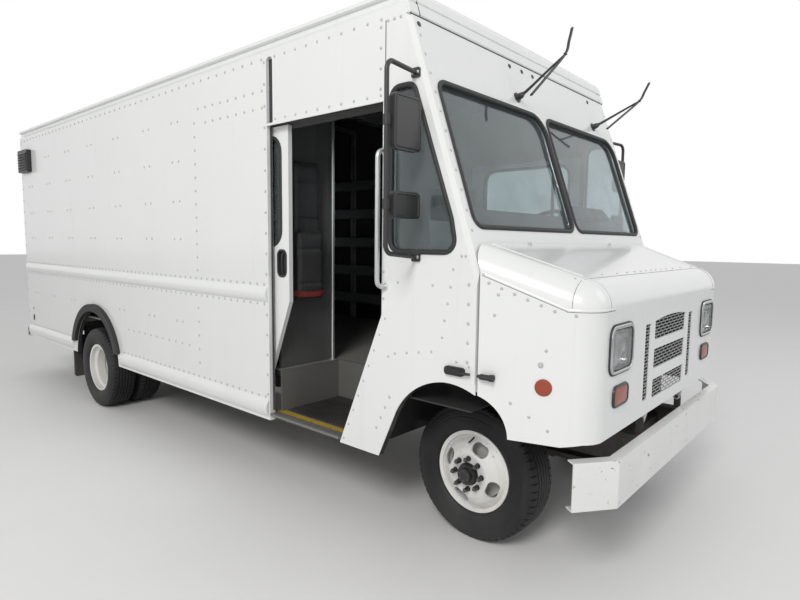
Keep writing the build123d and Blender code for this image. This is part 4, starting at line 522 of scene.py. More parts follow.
def spunPart(profile, centre, axis, steps=32):
    # a profile of (distance along the axis, radius) turned round the axis through the centre
    axis = unit(axis)
    helper = np.array([0.0, 0.0, 1.0]) if abs(axis[2]) < 0.9 else np.array([1.0, 0.0, 0.0])
    first = unit(np.cross(axis, helper))
    second = np.cross(axis, first)
    angle = fullTurn(steps)[None, :, None]
    profile = np.asarray(profile, float)
    ring = first * np.cos(angle) + second * np.sin(angle)
    points = np.asarray(centre) + profile[:, None, :1] * axis + ring * profile[:, None, 1:2]
    return gridPart(points, wrapColumns=True, capEnds=True)


def headShape(profile, steps):
    # a small turned head that stamped() sets on a surface
    return spunPart(profile, (0, 0, 0), (0, 0, 1), steps)


def prismPart(loop, low, high, axis=0):
    # a flat loop carried from one end of an axis to the other
    others = [index for index in range(3) if index != axis]
    points = np.zeros((2, len(loop), 3))
    points[:, :, others] = loop
    points[0, :, axis], points[1, :, axis] = low, high
    return gridPart(points, wrapColumns=True, capEnds=True)


def boxPart(low, high, round=0.0, axis=2):
    # a block between two corners whose four edges along one axis are rounded
    low, high = np.minimum(low, high), np.maximum(low, high)
    others = [index for index in range(3) if index != axis]
    loop = roundedLoop(rectangle(*(high - low)[others]), max(round, 1e-4), 4) + (low + high)[others] / 2
    return prismPart(loop, low[axis], high[axis], axis)


def boxes(*rows):
    # one block for each row of two corners, the edges' radius and the axis
    return [boxPart(*row) for row in rows]


def stamped(shape, places, normals, size):
    # copies of one small shape: each point is place + its x, y, z along two tangents and the normal
    shapePoints, shapeFaces = shape
    places = np.asarray(places, float).reshape(-1, 3)
    normals = unit(np.broadcast_to(normals, places.shape))
    helper = np.where(np.abs(normals[:, 2:3]) > 0.9, [[1.0, 0.0, 0.0]], [[0.0, 0.0, 1.0]])
    first = unit(np.cross(helper, normals))
    second = np.cross(normals, first)
    scaled = shapePoints * size
    points = (places[:, None, :] + scaled[None, :, :1] * first[:, None, :] + scaled[None, :, 1:2]
        * second[:, None, :] + scaled[None, :, 2:3] * normals[:, None, :])
    count = len(shapePoints)
    faces = [[index + copy * count for index in face] for copy in range(len(places)) for face in shapeFaces]
    return points.reshape(-1, 3), faces


def boltShape():
    # a hexagon head on a washer, domed on top
    washer = headShape([(-0.1, 1.25), (0.15, 1.25), (0.2, 1.05)], 16)
    head = headShape([(0.1, 0.95), (0.75, 0.95), (0.85, 0.75)], 6)
    return np.concatenate([washer[0], head[0]]), washer[1] + [[i + len(washer[0]) for i in f] for f in head[1]]


rivet = headShape([(-0.15, 1.0), (0.12, 1.0), (0.42, 0.72), (0.55, 0.3)], 8)
bolt = boltShape()
xAxis, yAxis, zAxis = np.eye(3)
rakeUp = unit([0.0, rakeSlope, 1.0])
rakeOut = unit([0.0, -1.0, rakeSlope])


def onRake(x, z, out=0.0):
    # points on the raked front, lifted out of it
    x, z = np.broadcast_arrays(np.asarray(x, float), np.asarray(z, float))
    return np.stack([x, rakeY(z), z], axis=-1) + rakeOut * out


def line(start, end, pitch):
    # evenly spaced points between two places, about a pitch apart
    start, end = np.asarray(start, float), np.asarray(end, float)
    count = max(2, int(round(np.linalg.norm(end - start) / pitch)) + 1)
    return start + (end - start) * np.linspace(0, 1, count)[:, None]


def lines(rows):
    # one line for each row of start, end and pitch, on a plane
    return np.concatenate([line(row[:2], row[2:4], row[4]) for row in rows])


def onRightSide(flat, out=0.0):
    # places on the body's right side from their y and z
    return np.column_stack([np.full(len(flat), -(bodyHalf + out)), flat])


# rivets on the body sides
sideRivetTable = {
    "headRadius": 0.0095,
    "postY": [2.405, 2.86, 3.42, 3.99, 4.55, 5.11, 5.66],
    "pairHalf": 0.046,
    "pairZ": [2.43, 2.15, 1.865, 1.59, 0.975],
    # start y, start z, end y, end z, pitch
    "rows": [
        (2.127, 2.39, 2.127, 1.37, 0.0935), (2.127, 1.1, 2.127, 0.7, 0.09), (2.27, 0.812, 3.3, 0.812, 0.1),
        (1.33, 2.48, 2.07, 2.48, 0.0935), (1.33, 2.38, 1.98, 2.38, 0.0935), (1.33, 1.192, 5.9, 1.192, 0.075),
        (1.33, 1.314, 5.9, 1.314, 0.075), (1.305, 0.62, 1.305, 2.64, 0.13), (1.33, 0.6, 3.4, 0.6, 0.075),
        (4.66, 0.6, 5.9, 0.6, 0.075), (5.935, 0.62, 5.935, 2.64, 0.13), (1.33, 2.66, 5.9, 2.66, 0.1),
    ],
}


def sideRivetPlaces(table):
    # pairs beside each post at each height, and the rows
    posts = np.array(table["postY"])
    ys = np.concatenate([posts - table["pairHalf"], posts + table["pairHalf"]])
    yy, zz = np.meshgrid(ys, table["pairZ"])
    pairs = np.stack([yy.ravel(), zz.ravel()], axis=-1)
    return onRightSide(np.concatenate([pairs, lines(table["rows"])]))


sideRivets = [stamped(rivet, sideRivetPlaces(sideRivetTable), -xAxis, sideRivetTable["headRadius"])]
makePiece("side_rivets", both(sideRivets), "wornAndShadedGrey")

# rivets on the headers, the cab sides, the raked front, the roof edge and round the rear frame
cabRivetTable = {
    "headRadius": 0.0085, "frontRadius": 0.0075, "frontX": 1.1, "frontZ": (1.55, 2.55), "frontCount": 12,
    "rearY": 5.96,
    # on the right side: start y, z, end y, z, pitch
    "side": [
        (0.345, 2.3, 1.2, 2.3, 0.095), (0.345, 2.655, 1.2, 2.655, 0.095), (0.318, 1.3, 0.318, 2.25, 0.13),
        (0.347, 2.33, 0.347, 2.62, 0.1), (0.27, 0.8, 0.36, 0.62, 0.07), (-0.2, 1.05, -0.2, 1.4, 0.09),
        (0.3, 2.64, 0.22, 2.64, 0.05),
    ],
    # on the rear frame: start x, z, end x, z, pitch
    "rear": [
        (-1.04, 0.62, -1.04, 2.62, 0.12), (1.04, 0.62, 1.04, 2.62, 0.12), (-1.0, 2.62, 1.0, 2.62, 0.1),
        (-1.0, 0.6, -0.5, 0.6, 0.1), (0.5, 0.6, 1.0, 0.6, 0.1),
    ],
}
cabRivets = [stamped(rivet, onRightSide(lines(cabRivetTable["side"])), -xAxis, cabRivetTable["headRadius"])]
frontZ = np.linspace(*cabRivetTable["frontZ"], cabRivetTable["frontCount"])
frontX = np.repeat([-cabRivetTable["frontX"], cabRivetTable["frontX"]], len(frontZ))
frontRivets = [stamped(rivet, onRake(frontX, np.tile(frontZ, 2)), rakeOut, cabRivetTable["frontRadius"])]
rearPlaces = np.insert(lines(cabRivetTable["rear"]), 1, cabRivetTable["rearY"], axis=1)
rearRivets = [stamped(rivet, rearPlaces, yAxis, cabRivetTable["headRadius"])]
makePiece("cab_rivets", both(cabRivets) + frontRivets + rearRivets, "wornAndShadedGrey")
print("rivets placed")

# rubber round the fixed glass
gasketSection = [(-0.01, -0.014), (-0.01, 0.003), (-0.005, 0.008), (0.006, 0.01), (0.012, 0.007), (0.014, 0.001),
    (0.004, -0.001)]
screenTable = {"centreX": 0.542, "width": 1.04, "height": 0.7198, "middleZ": 2.0, "corner": 0.06,
    "roundCorner": 0.13}
quarterCorners = [(0.275, 1.542), (0.275, 2.322), (0.1346, 2.322), (-0.096, 1.692), (-0.1261, 1.542)]


def screenLoop(centreX):
    # the outline of one of the two front panes on the rake
    radii = [screenTable["corner"], screenTable["corner"], screenTable["roundCorner"], screenTable["corner"]]
    loop = roundedLoop(rectangle(screenTable["width"], screenTable["height"]), radii)
    origin = onRake(centreX, screenTable["middleZ"])
    return onPlane(loop, origin, xAxis, rakeUp)


quarterLoop = onPlane(roundedLoop(quarterCorners, 0.055), (-bodyHalf, 0.0, 0.0), yAxis, zAxis)
quarterGasket = [edgeStrip(quarterLoop, -xAxis, gasketSection)]
screenGaskets = [edgeStrip(screenLoop(side * screenTable["centreX"]), rakeOut, gasketSection) for side in (-1, 1)]
makePiece("window_gaskets", screenGaskets + both(quarterGasket), "blackRubber")

# windows in the sliding doors and the rear doors
thinSection = [(-0.01, -0.012), (-0.01, 0.002), (-0.004, 0.005), (0.01, 0.005), (0.014, 0.001), (0.003, -0.001)]
doorWindow = {
    "width": 0.784, "height": 0.645, "middleZ": 1.8825, "corner": 0.09, "plane": 1.098, "thick": 0.028,
    "middleY": (0.076 + 0.995 - 0.135) / 2,     # behind the door's front edge
}
rearWindow = {"size": 0.56, "corner": 0.06, "middle": (0.483, 5.998, 1.9), "thick": 0.032}
doorRest = {"right": 1.14, "left": 0.31}
for sideName, sign in sides:
    middleY = doorRest[sideName] + doorWindow["middleY"]
    loop = plateLoop(doorWindow["width"], doorWindow["height"], doorWindow["corner"],
        (sign * doorWindow["plane"], middleY, doorWindow["middleZ"]), yAxis, zAxis)
    inner = loop - sign * xAxis * doorWindow["thick"]
    strips = [edgeStrip(loop, sign * xAxis, thinSection), edgeStrip(inner, -sign * xAxis, thinSection)]
    divider = boxPart((sign * 1.0815, middleY - 0.263, 1.562), (sign * 1.0955, middleY - 0.235, 2.203), 0.004)
    makePiece("door_window_seal_" + sideName, strips + [divider], "blackRubber", sideName + "_cab_door")
    x, y, z = rearWindow["middle"]
    rearLoop = plateLoop(rearWindow["size"], rearWindow["size"], rearWindow["corner"], (sign * x, y, z), xAxis,
        zAxis)
    rearInner = rearLoop - yAxis * rearWindow["thick"]
    rearStrips = [edgeStrip(rearLoop, yAxis, gasketSection), edgeStrip(rearInner, -yAxis, thinSection)]
    makePiece("rear_window_seal_" + sideName, rearStrips, "blackRubber", sideName + "_rear_door")
print("window rubber made")

# tyres: a smooth carcass whose radius is cut by rings of grooves and by cross cuts
tyreLook = {
    "frontX": 0.689, "rearX": (1.049, 0.795), "pitches": 58, "grooveDepth": 0.0105, "cutDepth": 0.008,
    "zigzag": 0.0022, "grooves": [(0.0, 0.003), (0.0232, 0.0298), (0.0502, 0.0563)],
    "shoulder": 0.057, "shoulderCut": (0.0578, 0.1005), "innerCut": (0.0305, 0.0488), "shareCut": (0.03, 0.2),
}


def tyrePart(centreX, axisY, look=tyreLook):
    # radius = carcass radius(u) - the larger of the groove's depth, for u in a groove, and the cut's depth, for
    # the angle and u in a cut; x = centre + u + zigzag * sine of the angle in half pitches
    mm = 0.001
    side = np.array([(77, 208), (82, 222), (90, 225), (98, 231), (105, 246), (109, 262), (110.6, 280), (110.6, 297),
            (108.6, 300), (108.4, 303), (109.6, 306), (107.5, 322), (103.5, 340), (101, 343), (101, 347),
            (100.5, 352), (96, 360), (91, 365.5)]) * mm
    tread = np.array([(84, 368.6), (72, 370.4), (57.5, 371.2), (56, 371.3), (50.5, 371.5), (49, 371.6), (37, 371.8),
            (30.5, 371.9), (29, 371.9), (23.5, 372), (22, 372), (12, 372), (4, 372), (2.5, 372)]) * mm
    half = np.concatenate([side, tread])
    section = np.concatenate([half, half[::-1] * [-1, 1]])
    u, carcass = section[:, 0], section[:, 1]
    steps = np.array([0.0, 0.03, 0.19, 0.22, 0.48, 0.74])
    angle = ((np.arange(look["pitches"])[:, None] + steps) / look["pitches"]).ravel()
    turn = angle[:, None] * look["pitches"]
    zigzag = look["zigzag"] * np.sin(turn * np.pi) * (np.abs(u) < 0.06)
    size = np.abs(u)
    inGroove = np.any([(size > low) & (size < high) for low, high in look["grooves"]], axis=0)
    onShoulder = size > look["shoulder"]
    (cutStart, cutEnd), (outerLow, outerHigh), (low, high) = look["shareCut"], look["shoulderCut"], look["innerCut"]
    phase = (turn + np.where(onShoulder, 0.0, 0.5)) % 1.0
    inCut = (phase >= cutStart) & (phase < cutEnd)
    cutZone = np.where(onShoulder, (size > outerLow) & (size < outerHigh) & (carcass > 0.33),
        (size > low) & (size < high))
    depth = np.maximum(inGroove * look["grooveDepth"], inCut * cutZone * look["cutDepth"])
    radius = carcass - depth
    theta = angle[:, None] * 2 * np.pi
    x = centreX + u + zigzag
    points = np.stack([x + 0 * radius, axisY + radius * np.cos(theta), axleZ + radius * np.sin(theta)], axis=-1)
    inside = np.array([(-0.07, 0.2065), (0.07, 0.2065)])
    ringX = np.broadcast_to(centreX + inside[:, 0], (len(angle), 2))
    ring = np.stack([ringX, axisY + inside[:, 1] * np.cos(theta), axleZ + inside[:, 1] * np.sin(theta)], axis=-1)
    return gridPart(np.concatenate([points, ring], axis=1), wrapRows=True, wrapColumns=True)


for sideName, sign in sides:
    front = makePiece("front_tread_" + sideName, [tyrePart(sign * tyreLook["frontX"], 0.0)], "tyreRubber",
        sideName + "_front_wheel", smooth=0.5)
    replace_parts(front, "front_tyre_" + sideName)
    twin = makePiece("rear_tread_" + sideName, [tyrePart(sign * x, wheelBase) for x in tyreLook["rearX"]],
        "tyreRubber", sideName + "_rear_wheels", smooth=0.5)
    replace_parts(twin, "rear_tyres_" + sideName)
print("tyres made")

# lines, rivets and fittings that follow the hood and the cowl
hoodLook = {
    "seamY": -0.622, "lipWidth": 0.011, "lipHeight": 0.0016, "sealWidth": 0.0022, "sealHeight": 0.001,
    "sealOffset": 0.0065,
    "rivetRadius": 0.0075, "overRivetRadius": 0.006, "cowlRivetRadius": 0.0072, "reflectorRadius": 0.037,
    # y and z of the side rivets on the hood and on the cowl behind it
    "sideRivets": [(-0.265, 1.446), (-0.331, 1.362), (-0.317, 1.271), (-0.534, 1.134), (-0.395, 0.889),
        (-0.474, 0.838), (-0.551, 0.788), (-0.645, 1.29)],
    "cowlRivets": [(-0.084, 1.306), (-0.068, 1.227), (-0.057, 1.146), (-0.113, 1.465), (0.004, 1.385),
        (-0.099, 1.384), (0.281, 1.009), (0.236, 1.03), (0.158, 1.044), (0.082, 1.057), (0.006, 1.07),
        (-0.14, 1.043), (-0.209, 1.03), (0.222, 1.387), (-0.158, 1.525), (-0.179, 1.526)],
}


def castOn(source, starts, directions):
    # straight rays onto a node or a piece: the places where they meet it and the outward directions there
    source = nodes[source] if isinstance(source, str) else source
    tree = BVHTree.FromObject(source, bpy.context.evaluated_depsgraph_get())
    starts, directions = np.broadcast_arrays(np.asarray(starts, float), np.asarray(directions, float))
    shift = np.array([0.0, axleY, 0.0])
    hits = [(tree.ray_cast(tuple(start + shift), tuple(way)), way) for start, way in zip(starts, directions)]
    found = [(hit[0] - Vector(shift), hit[1] * (-1.0 if hit[1].dot(Vector(way)) > 0 else 1.0))
        for hit, way in hits if hit[0] is not None]
    return np.array([tuple(place) for place, _ in found]), np.array([tuple(out) for _, out in found])


def followPart(points, normals, section):
    # a section carried along a path on a surface: first number across the path, second out of the surface
    along = unit(np.gradient(points, axis=0))
    across = unit(np.cross(along, normals))
    section = np.asarray(section, float)
    ring = across[:, None, :] * section[None, :, :1] + normals[:, None, :] * section[None, :, 1:]
    return gridPart(points[:, None, :] + ring, wrapColumns=True, capEnds=True)


def ridgeSection(width, height, sink=0.001):
    # a low crown: height times the sine over its width
    angle = np.linspace(0, np.pi, 5)
    crown = np.stack([-np.cos(angle) * width / 2, np.sin(angle) * height], axis=-1)
    return np.concatenate([[(-width / 2, -sink)], crown, [(width / 2, -sink)]])


def castRound(nodeName, centre, first, second, fromAngle, toAngle, steps, reach=2.2):
    # rays aimed at a centre from a circle of places round it
    angle = np.radians(np.linspace(fromAngle, toAngle, steps))[:, None]
    ways = np.cos(angle) * np.asarray(first, float) + np.sin(angle) * np.asarray(second, float)
    return castOn(nodeName, np.asarray(centre) + ways * reach, -ways)


def besideSeam(points, normals, distance):
    # points + distance times the direction across the path
    along = unit(np.gradient(points, axis=0))
    return points + unit(np.cross(along, normals)) * distance


seamOver = castRound("hood_shell", (0, hoodLook["seamY"], 0.95), xAxis, zAxis, 160.0, 20.0, 120)
creaseT = np.linspace(0, 1, 14)[:, None]
creaseStart = np.array([-2.0, -0.262, 1.45])
creasePath = creaseStart + (np.array([-2.0, -0.617, 1.31]) - creaseStart) * creaseT
crease = castOn("hood_shell", creasePath, xAxis)
cornerLow = castRound("hood_shell", (-0.8, -0.56, 1.311), -xAxis, -yAxis, 12.0, 84.0, 20, 1.0)
cornerFront = castRound("hood_shell", (-0.868, -0.62, 1.311), -yAxis, zAxis, 0.0, 88.0, 20, 1.0)
lip = ridgeSection(hoodLook["lipWidth"], hoodLook["lipHeight"])
seal = ridgeSection(hoodLook["sealWidth"], hoodLook["sealHeight"])
sidePaths = [crease, cornerLow, cornerFront]
lips = [followPart(points, normals, lip) for points, normals in sidePaths]
sealOffset = hoodLook["sealOffset"]
seals = [followPart(besideSeam(points, normals, sealOffset), normals, seal) for points, normals in sidePaths]
hoodRivetPath = [(-2.0, y, z) for y, z in hoodLook["sideRivets"]]
sideHits = castOn("hood_shell", hoodRivetPath, xAxis)
creaseHits = castOn("hood_shell", creasePath[1:-1:2] - [0, 0, 0.028], xAxis)
overHits = (besideSeam(*seamOver, -0.02)[6:-6:8], seamOver[1][6:-6:8])
hoodDots = [stamped(rivet, *hits, hoodLook["rivetRadius"]) for hits in (sideHits, creaseHits)]
makePiece("hood_seams", both(lips) + [followPart(*seamOver, lip)], "bodyWhite", "hood")
makePiece("hood_rivets", both(hoodDots) + [stamped(rivet, *overHits, hoodLook["overRivetRadius"])], "wornAndShadedGrey",
    "hood")
makePiece("hood_sealant", both(seals) + [followPart(besideSeam(*seamOver, sealOffset), seamOver[1], seal)],
    "blackRubber", "hood")

topY = np.linspace(-0.215, -0.6, 16)
topStart = np.column_stack([-(0.989 + 0.3022 * (topY + 0.7315)) + 0.165, topY, np.full(16, 2.2)])
topBead = followPart(*castOn("hood_shell", topStart, -zAxis), ridgeSection(0.016, 0.004))
nozzleHits = castOn("hood_shell", [(-0.646, -0.222, 2.2), (0.398, -0.222, 2.2)], -zAxis)
nozzle = headShape([(-0.2, 1.0), (0.25, 1.0), (0.5, 0.7), (0.95, 0.62), (1.1, 0.3)], 14)
makePiece("hood_beads", both([topBead]), "bodyWhite", "hood")
boltHit = castOn("hood_shell", [(-2.0, -0.514, 1.071), (-2.0, -0.47, 1.1)], xAxis)
fittings = [stamped(nozzle, *nozzleHits, 0.012), stamped(bolt, boltHit[0][:1], boltHit[1][:1], 0.01)]
makePiece("hood_fittings", fittings, "wornAndShadedGrey", "hood")

disc = [(-0.02, 1.0), (0.1, 1.0), (0.15, 0.96), (0.19, 0.8), (0.21, 0.45), (0.215, 0.1)]
reflectorHit = castOn("hood_shell", [(-2.0, -0.528, 0.975)], xAxis)
reflector = [stamped(headShape(disc, 36), *reflectorHit, hoodLook["reflectorRadius"])]
makePiece("side_reflectors", both(reflector), "amberShadedLens", "hood")

cowlPlaces = [onRightSide(hoodLook["cowlRivets"]), onRightSide(line((0.306, 1.2), (0.608, 0.505), 0.094))]
cowlDots = [stamped(rivet, places, -xAxis, hoodLook["cowlRivetRadius"]) for places in cowlPlaces]
makePiece("cowl_rivets", both(cowlDots), "wornAndShadedGrey")

# rubber latches over the gap between cowl and hood: base and strap on the cowl, handle on the hood
strapPath = [(-1.165, -0.17, 1.001), (-1.168, -0.2, 1.001), (-1.16, -0.225, 1.0)]
latchBase = boxes(((-1.143, -0.19, 0.982), (-1.161, -0.082, 1.021), 0.014, 0),
    ((-1.158, -0.186, 0.989), (-1.167, -0.11, 1.014), 0.011, 0)) + [bentTube(strapPath, 0.01, 10, 0.6)]
makePiece("latch_bases", both(latchBase), "blackRubber")
gripPath = smoothPath([(-1.152, -0.262, 0.999), (-1.15, -0.28, 0.998), (-1.142, -0.315, 0.997),
        (-1.138, -0.335, 0.997)], 6)
latchGrip = [tubePart(gripPath, [0.01] * 5 + [0.017] * 8 + [0.021] * 6, 12, 0.75)]
makePiece("latch_grips", both(latchGrip), "blackRubber", "hood")
print("hood and cowl dressed")


# lamps in the hood's face
lampLook = {"centre": (-0.73, -0.7315, 1.13), "width": 0.27, "height": 0.215, "corner": 0.05, "bezel": 0.016,
    "bowlDepth": 0.06, "bulbDepth": 0.052, "lensCrown": 0.006}
markerLook = {"centre": (-0.72, -0.7315, 0.918), "width": 0.18, "height": 0.1, "corner": 0.032, "bezel": 0.011}


def lampLoop(look, inset=0.0):
    # the rounded outline on the hood's face, moved inwards
    return plateLoop(look["width"] - 2 * inset, look["height"] - 2 * inset, look["corner"] - inset, look["centre"],
        xAxis, zAxis)


def shrinkRows(loop, centre, scales, depths):
    # copies of a loop drawn towards its middle and moved along Y, one row for each scale
    middle = np.asarray(centre)
    rows = [middle + (loop - middle) * [scale, 1.0, scale] + yAxis * depth for scale, depth in zip(scales, depths)]
    return np.stack(rows)


def crownedLens(look, inset, face, crown, thickness):
    # front face bulges by crown * (1 - scale squared); the back is flat
    loop = lampLoop(look, inset)
    scales = np.array([1.0, 0.96, 0.85, 0.65, 0.4, 0.12])
    front = shrinkRows(loop, look["centre"], scales, -face - crown * (1 - scales ** 2))
    back = shrinkRows(loop, look["centre"], scales[::-1], np.full(len(scales), -face + thickness))
    return gridPart(np.concatenate([back, front]), wrapColumns=True, capEnds=True)


bezelSection = [(-0.016, 0.004), (-0.0155, 0.011), (-0.011, 0.0135), (-0.004, 0.0125), (0.0, 0.007), (0.0, 0.0),
    (-0.016, 0.0)]
bezelRing = edgeStrip(lampLoop(lampLook), -yAxis, bezelSection)
bowlScales = np.array([0.995, 0.98, 0.93, 0.8, 0.55, 0.25, 0.1])
bowlDepths = lampLook["bowlDepth"] * np.sqrt(np.clip(1 - bowlScales ** 2, 0, 1)) - 0.004
bowlLoop = lampLoop(lampLook, lampLook["bezel"])
bowlInner = shrinkRows(bowlLoop, lampLook["centre"], bowlScales, bowlDepths)
bowlOuter = shrinkRows(bowlLoop, lampLook["centre"], bowlScales[::-1], bowlDepths[::-1] + 0.004)
bowl = gridPart(np.concatenate([bowlInner, bowlOuter]), wrapRows=True, wrapColumns=True)
bulbShape = [(0.0, 0.011), (0.02, 0.011), (0.024, 0.007), (0.038, 0.007), (0.043, 0.003)]
bulb = spunPart(bulbShape, np.array(lampLook["centre"]) + yAxis * lampLook["bulbDepth"], -yAxis, 16)
frameSection = [(-0.003, 0.004), (0.003, 0.004), (0.003, -0.004), (-0.003, -0.004)]
innerFrame = edgeStrip(lampLoop(lampLook, 0.03), -yAxis, frameSection)
lampMetal = [bowl, bulb, innerFrame]
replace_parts(makePiece("headlamp_bowls", both(lampMetal), "lampSilver", "hood"), "headlamps")
makePiece("headlamp_bezels", both([bezelRing]), "chromeBezel", "hood")
outerSeal = [(-0.001, 0.0), (-0.001, 0.0075), (0.004, 0.007), (0.006, 0.0015), (0.006, 0.0)]
innerSeal = [(-0.0035, 0.002), (-0.003, 0.0095), (0.0, 0.01), (0.0, 0.002)]
lampSeal = [edgeStrip(lampLoop(lampLook), -yAxis, outerSeal)]
lampSeal += [edgeStrip(lampLoop(lampLook, 0.0165), -yAxis, innerSeal)]
makePiece("headlamp_seals", both(lampSeal), "blackRubber", "hood")
lens = [crownedLens(lampLook, lampLook["bezel"] + 0.0005, 0.0065, lampLook["lensCrown"], 0.003)]
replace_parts(makePiece("headlamp_glass", both(lens), "lampGlass", "hood"), "headlamp_lenses")
markerSection = [(-0.012, 0.0), (-0.012, 0.007), (-0.007, 0.0115), (-0.002, 0.009), (0.0, 0.003), (0.0, 0.0)]
markerBezel = [edgeStrip(lampLoop(markerLook), -yAxis, markerSection)]
makePiece("marker_bezels", both(markerBezel), "blackPlastic", "hood")
markerLens = [crownedLens(markerLook, markerLook["bezel"], 0.0075, 0.005, 0.0075)]
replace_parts(makePiece("marker_lenses", both(markerLens), "amberShadedLens", "hood"), "marker_lamps")

# wipers standing off the glass: bent flat arms, blades with a rubber under a spring strip
wiperLook = {
    "z": 2.416,
    # pivot x, arm end, blade low, blade tip as x, y and the rise over the pivot
    "arms": [(-0.277, (-0.074, -0.1, 0.255), (-0.38, -0.06, -0.026), (-0.017, -0.11, 0.414)),
        (0.792, (0.995, -0.16, 0.185), (0.692, -0.06, -0.04), (1.063, -0.2, 0.318))],
}
pivotShape = [(-0.002, 0.03), (0.005, 0.03), (0.009, 0.019), (0.034, 0.017), (0.04, 0.013), (0.043, 0.005)]
wiperParts, bladeParts = [], []
for pivotX, armEnd, bladeLow, bladeTip in wiperLook["arms"]:
    pivot = onRake(pivotX, wiperLook["z"])
    end, low, tip = [np.array([x, y, wiperLook["z"] + rise]) for x, y, rise in (armEnd, bladeLow, bladeTip)]
    knuckle = pivot + rakeOut * 0.034
    wiperParts.append(spunPart(pivotShape, pivot, rakeOut, 24))
    reach = end - knuckle
    hinge = knuckle + reach * 0.16
    armPath = smoothPath([knuckle - reach * 0.06, knuckle, hinge + rakeOut * 0.008, (hinge + end) / 2, end])
    armSize = np.interp(np.linspace(0, 1, len(armPath)), [0, 0.28, 0.34, 1], [0.016, 0.014, 0.009, 0.006])
    wiperParts.append(tubePart(armPath, armSize, 10, 0.55, rakeOut))
    lowBend = low * 0.6 + end * 0.4 + rakeOut * 0.003
    highBend = end * 0.5 + tip * 0.5 + rakeOut * 0.003
    bladePath = smoothPath([low, lowBend, end, highBend, tip], 6)
    wiperParts.append(tubePart(bladePath, 0.0065, 8, 0.5, rakeOut))
    bladeParts.append(tubePart(bladePath - rakeOut * 0.008, 0.006, 6, 1.0, rakeOut))
    clip = np.array([end + rakeOut * 0.004, end - rakeOut * 0.01])
    wiperParts.append(tubePart(clip, 0.01, 8, 1.0, tip - low))
wiperPiece = makePiece("wiper_arms", wiperParts, "blackPlastic")
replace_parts(wiperPiece, "wipers")
makePiece("wiper_rubbers", bladeParts, "blackRubber")
print("lamps and wipers made")

# trim of the cab and the box
trimLook = {
    "plugX": [-1.088, -0.261, -0.119, 0.013, 0.833], "plugZ": 2.607,
    "roofRivetRadius": 0.0065, "roofSeamY": [0.62, 1.285, 2.405, 3.42, 4.55, 5.66], "postSealX": 1.1185,
    "pillarSealX": 1.127,
}
plugShape = headShape([(-0.1, 1.0), (0.2, 1.0), (0.35, 0.8), (0.4, 0.3)], 16)
plugs = [stamped(plugShape, onRake(np.array(trimLook["plugX"]), trimLook["plugZ"]), rakeOut, 0.013)]
grooveStrip = [boxPart((-1.1225, 1.228, 2.279), (-1.1265, 1.282, 2.655), 0.002, axis=2)]
postX, pillarX = -trimLook["postSealX"], -trimLook["pillarSealX"]
postSeal = [tubePart(line((postX, 1.2785, 0.52), (postX, 1.2785, 2.27), 0.2), 0.006, 8, 1.0, yAxis)]
pillarPath = np.concatenate([line((pillarX, 0.3355, 2.27), (pillarX, 0.3355, 1.24), 0.2),
        smoothPath([(pillarX, 0.338, 1.215), (pillarX, 0.48, 0.872), (pillarX, 0.64, 0.488)])])
pillarSeal = [tubePart(pillarPath, 0.0055, 8, 1.0, xAxis)]
headSeal = [tubePart(line((-1.13, 0.345, 2.2695), (-1.13, 1.27, 2.2695), 0.2), 0.005, 8)]
blackTrim = grooveStrip + postSeal + pillarSeal + headSeal
dripSection = [(-1.1435, 2.267), (-1.15, 2.267), (-1.151, 2.272), (-1.149, 2.281), (-1.1435, 2.283)]
dripRail = [prismPart(dripSection, 0.3, 1.284, axis=1)]
makePiece("drip_rails", both(dripRail), "bodyWhite")
makePiece("door_seals", both(blackTrim), "blackRubber")
makePiece("cap_plugs", plugs, "blackPlastic")

# rolled front edge of the roof: a stepped profile over the raked front, with a separate piece at each end
capLook = {
    "half": 1.066, "endStartX": 1.071, "endX": 1.138, "endSink": 0.002,
    # height and how far it stands off the rake
    "profile": [(2.65, -0.003), (2.65, 0.004), (2.655, 0.009), (2.704, 0.01), (2.709, 0.005), (2.713, 0.005),
        (2.718, 0.011), (2.76, 0.012), (2.774, 0.009), (2.786, 0.002), (2.786, -0.003)],
}
capZ, capOut = np.array(capLook["profile"]).T


def capRun(startX, endX, thin=0.0):
    # the profile at both ends of a run: place on the rake + what the height stands off it, less thin
    ends = [onRake(x, capZ, capOut[:, None] - thin * (capOut[:, None] > 0)) for x in (startX, endX)]
    return gridPart(np.stack(ends), wrapColumns=True, capEnds=True)


capParts = [capRun(-capLook["half"], capLook["half"])]
capParts += [capRun(side * capLook["endStartX"], side * capLook["endX"], capLook["endSink"]) for side in (-1, 1)]
makePiece("roof_cap", capParts, "bodyWhite")
seamLines = [tubePart(onRake(np.array([-1.138, 0.0, 1.138]), 2.6475, 0.0005), 0.0024, 6)]
seamLines += [tubePart(onRake(side * 1.0685, np.array([2.652, 2.71, 2.776]), 0.006), 0.003, 6, 1.0, yAxis)
    for side in (-1, 1)]
headerSeam = [boxPart((-1.1435, 0.313, 2.286), (-1.1455, 0.317, 2.645))]
sidePlug = headShape([(-0.05, 1.0), (0.15, 1.0), (0.25, 0.8), (0.28, 0.3)], 20)
sidePlugs = [stamped((sidePlug[0] * [0.55, 1.0, 0.5], sidePlug[1]), onRightSide([(5.787, 0.683)]), -xAxis, 0.036),
    stamped(sidePlug, onRightSide([(5.787, 0.785)]), -xAxis, 0.011)]
makePiece("cab_seams", seamLines + both(headerSeam) + both(sidePlugs), "blackRubber")

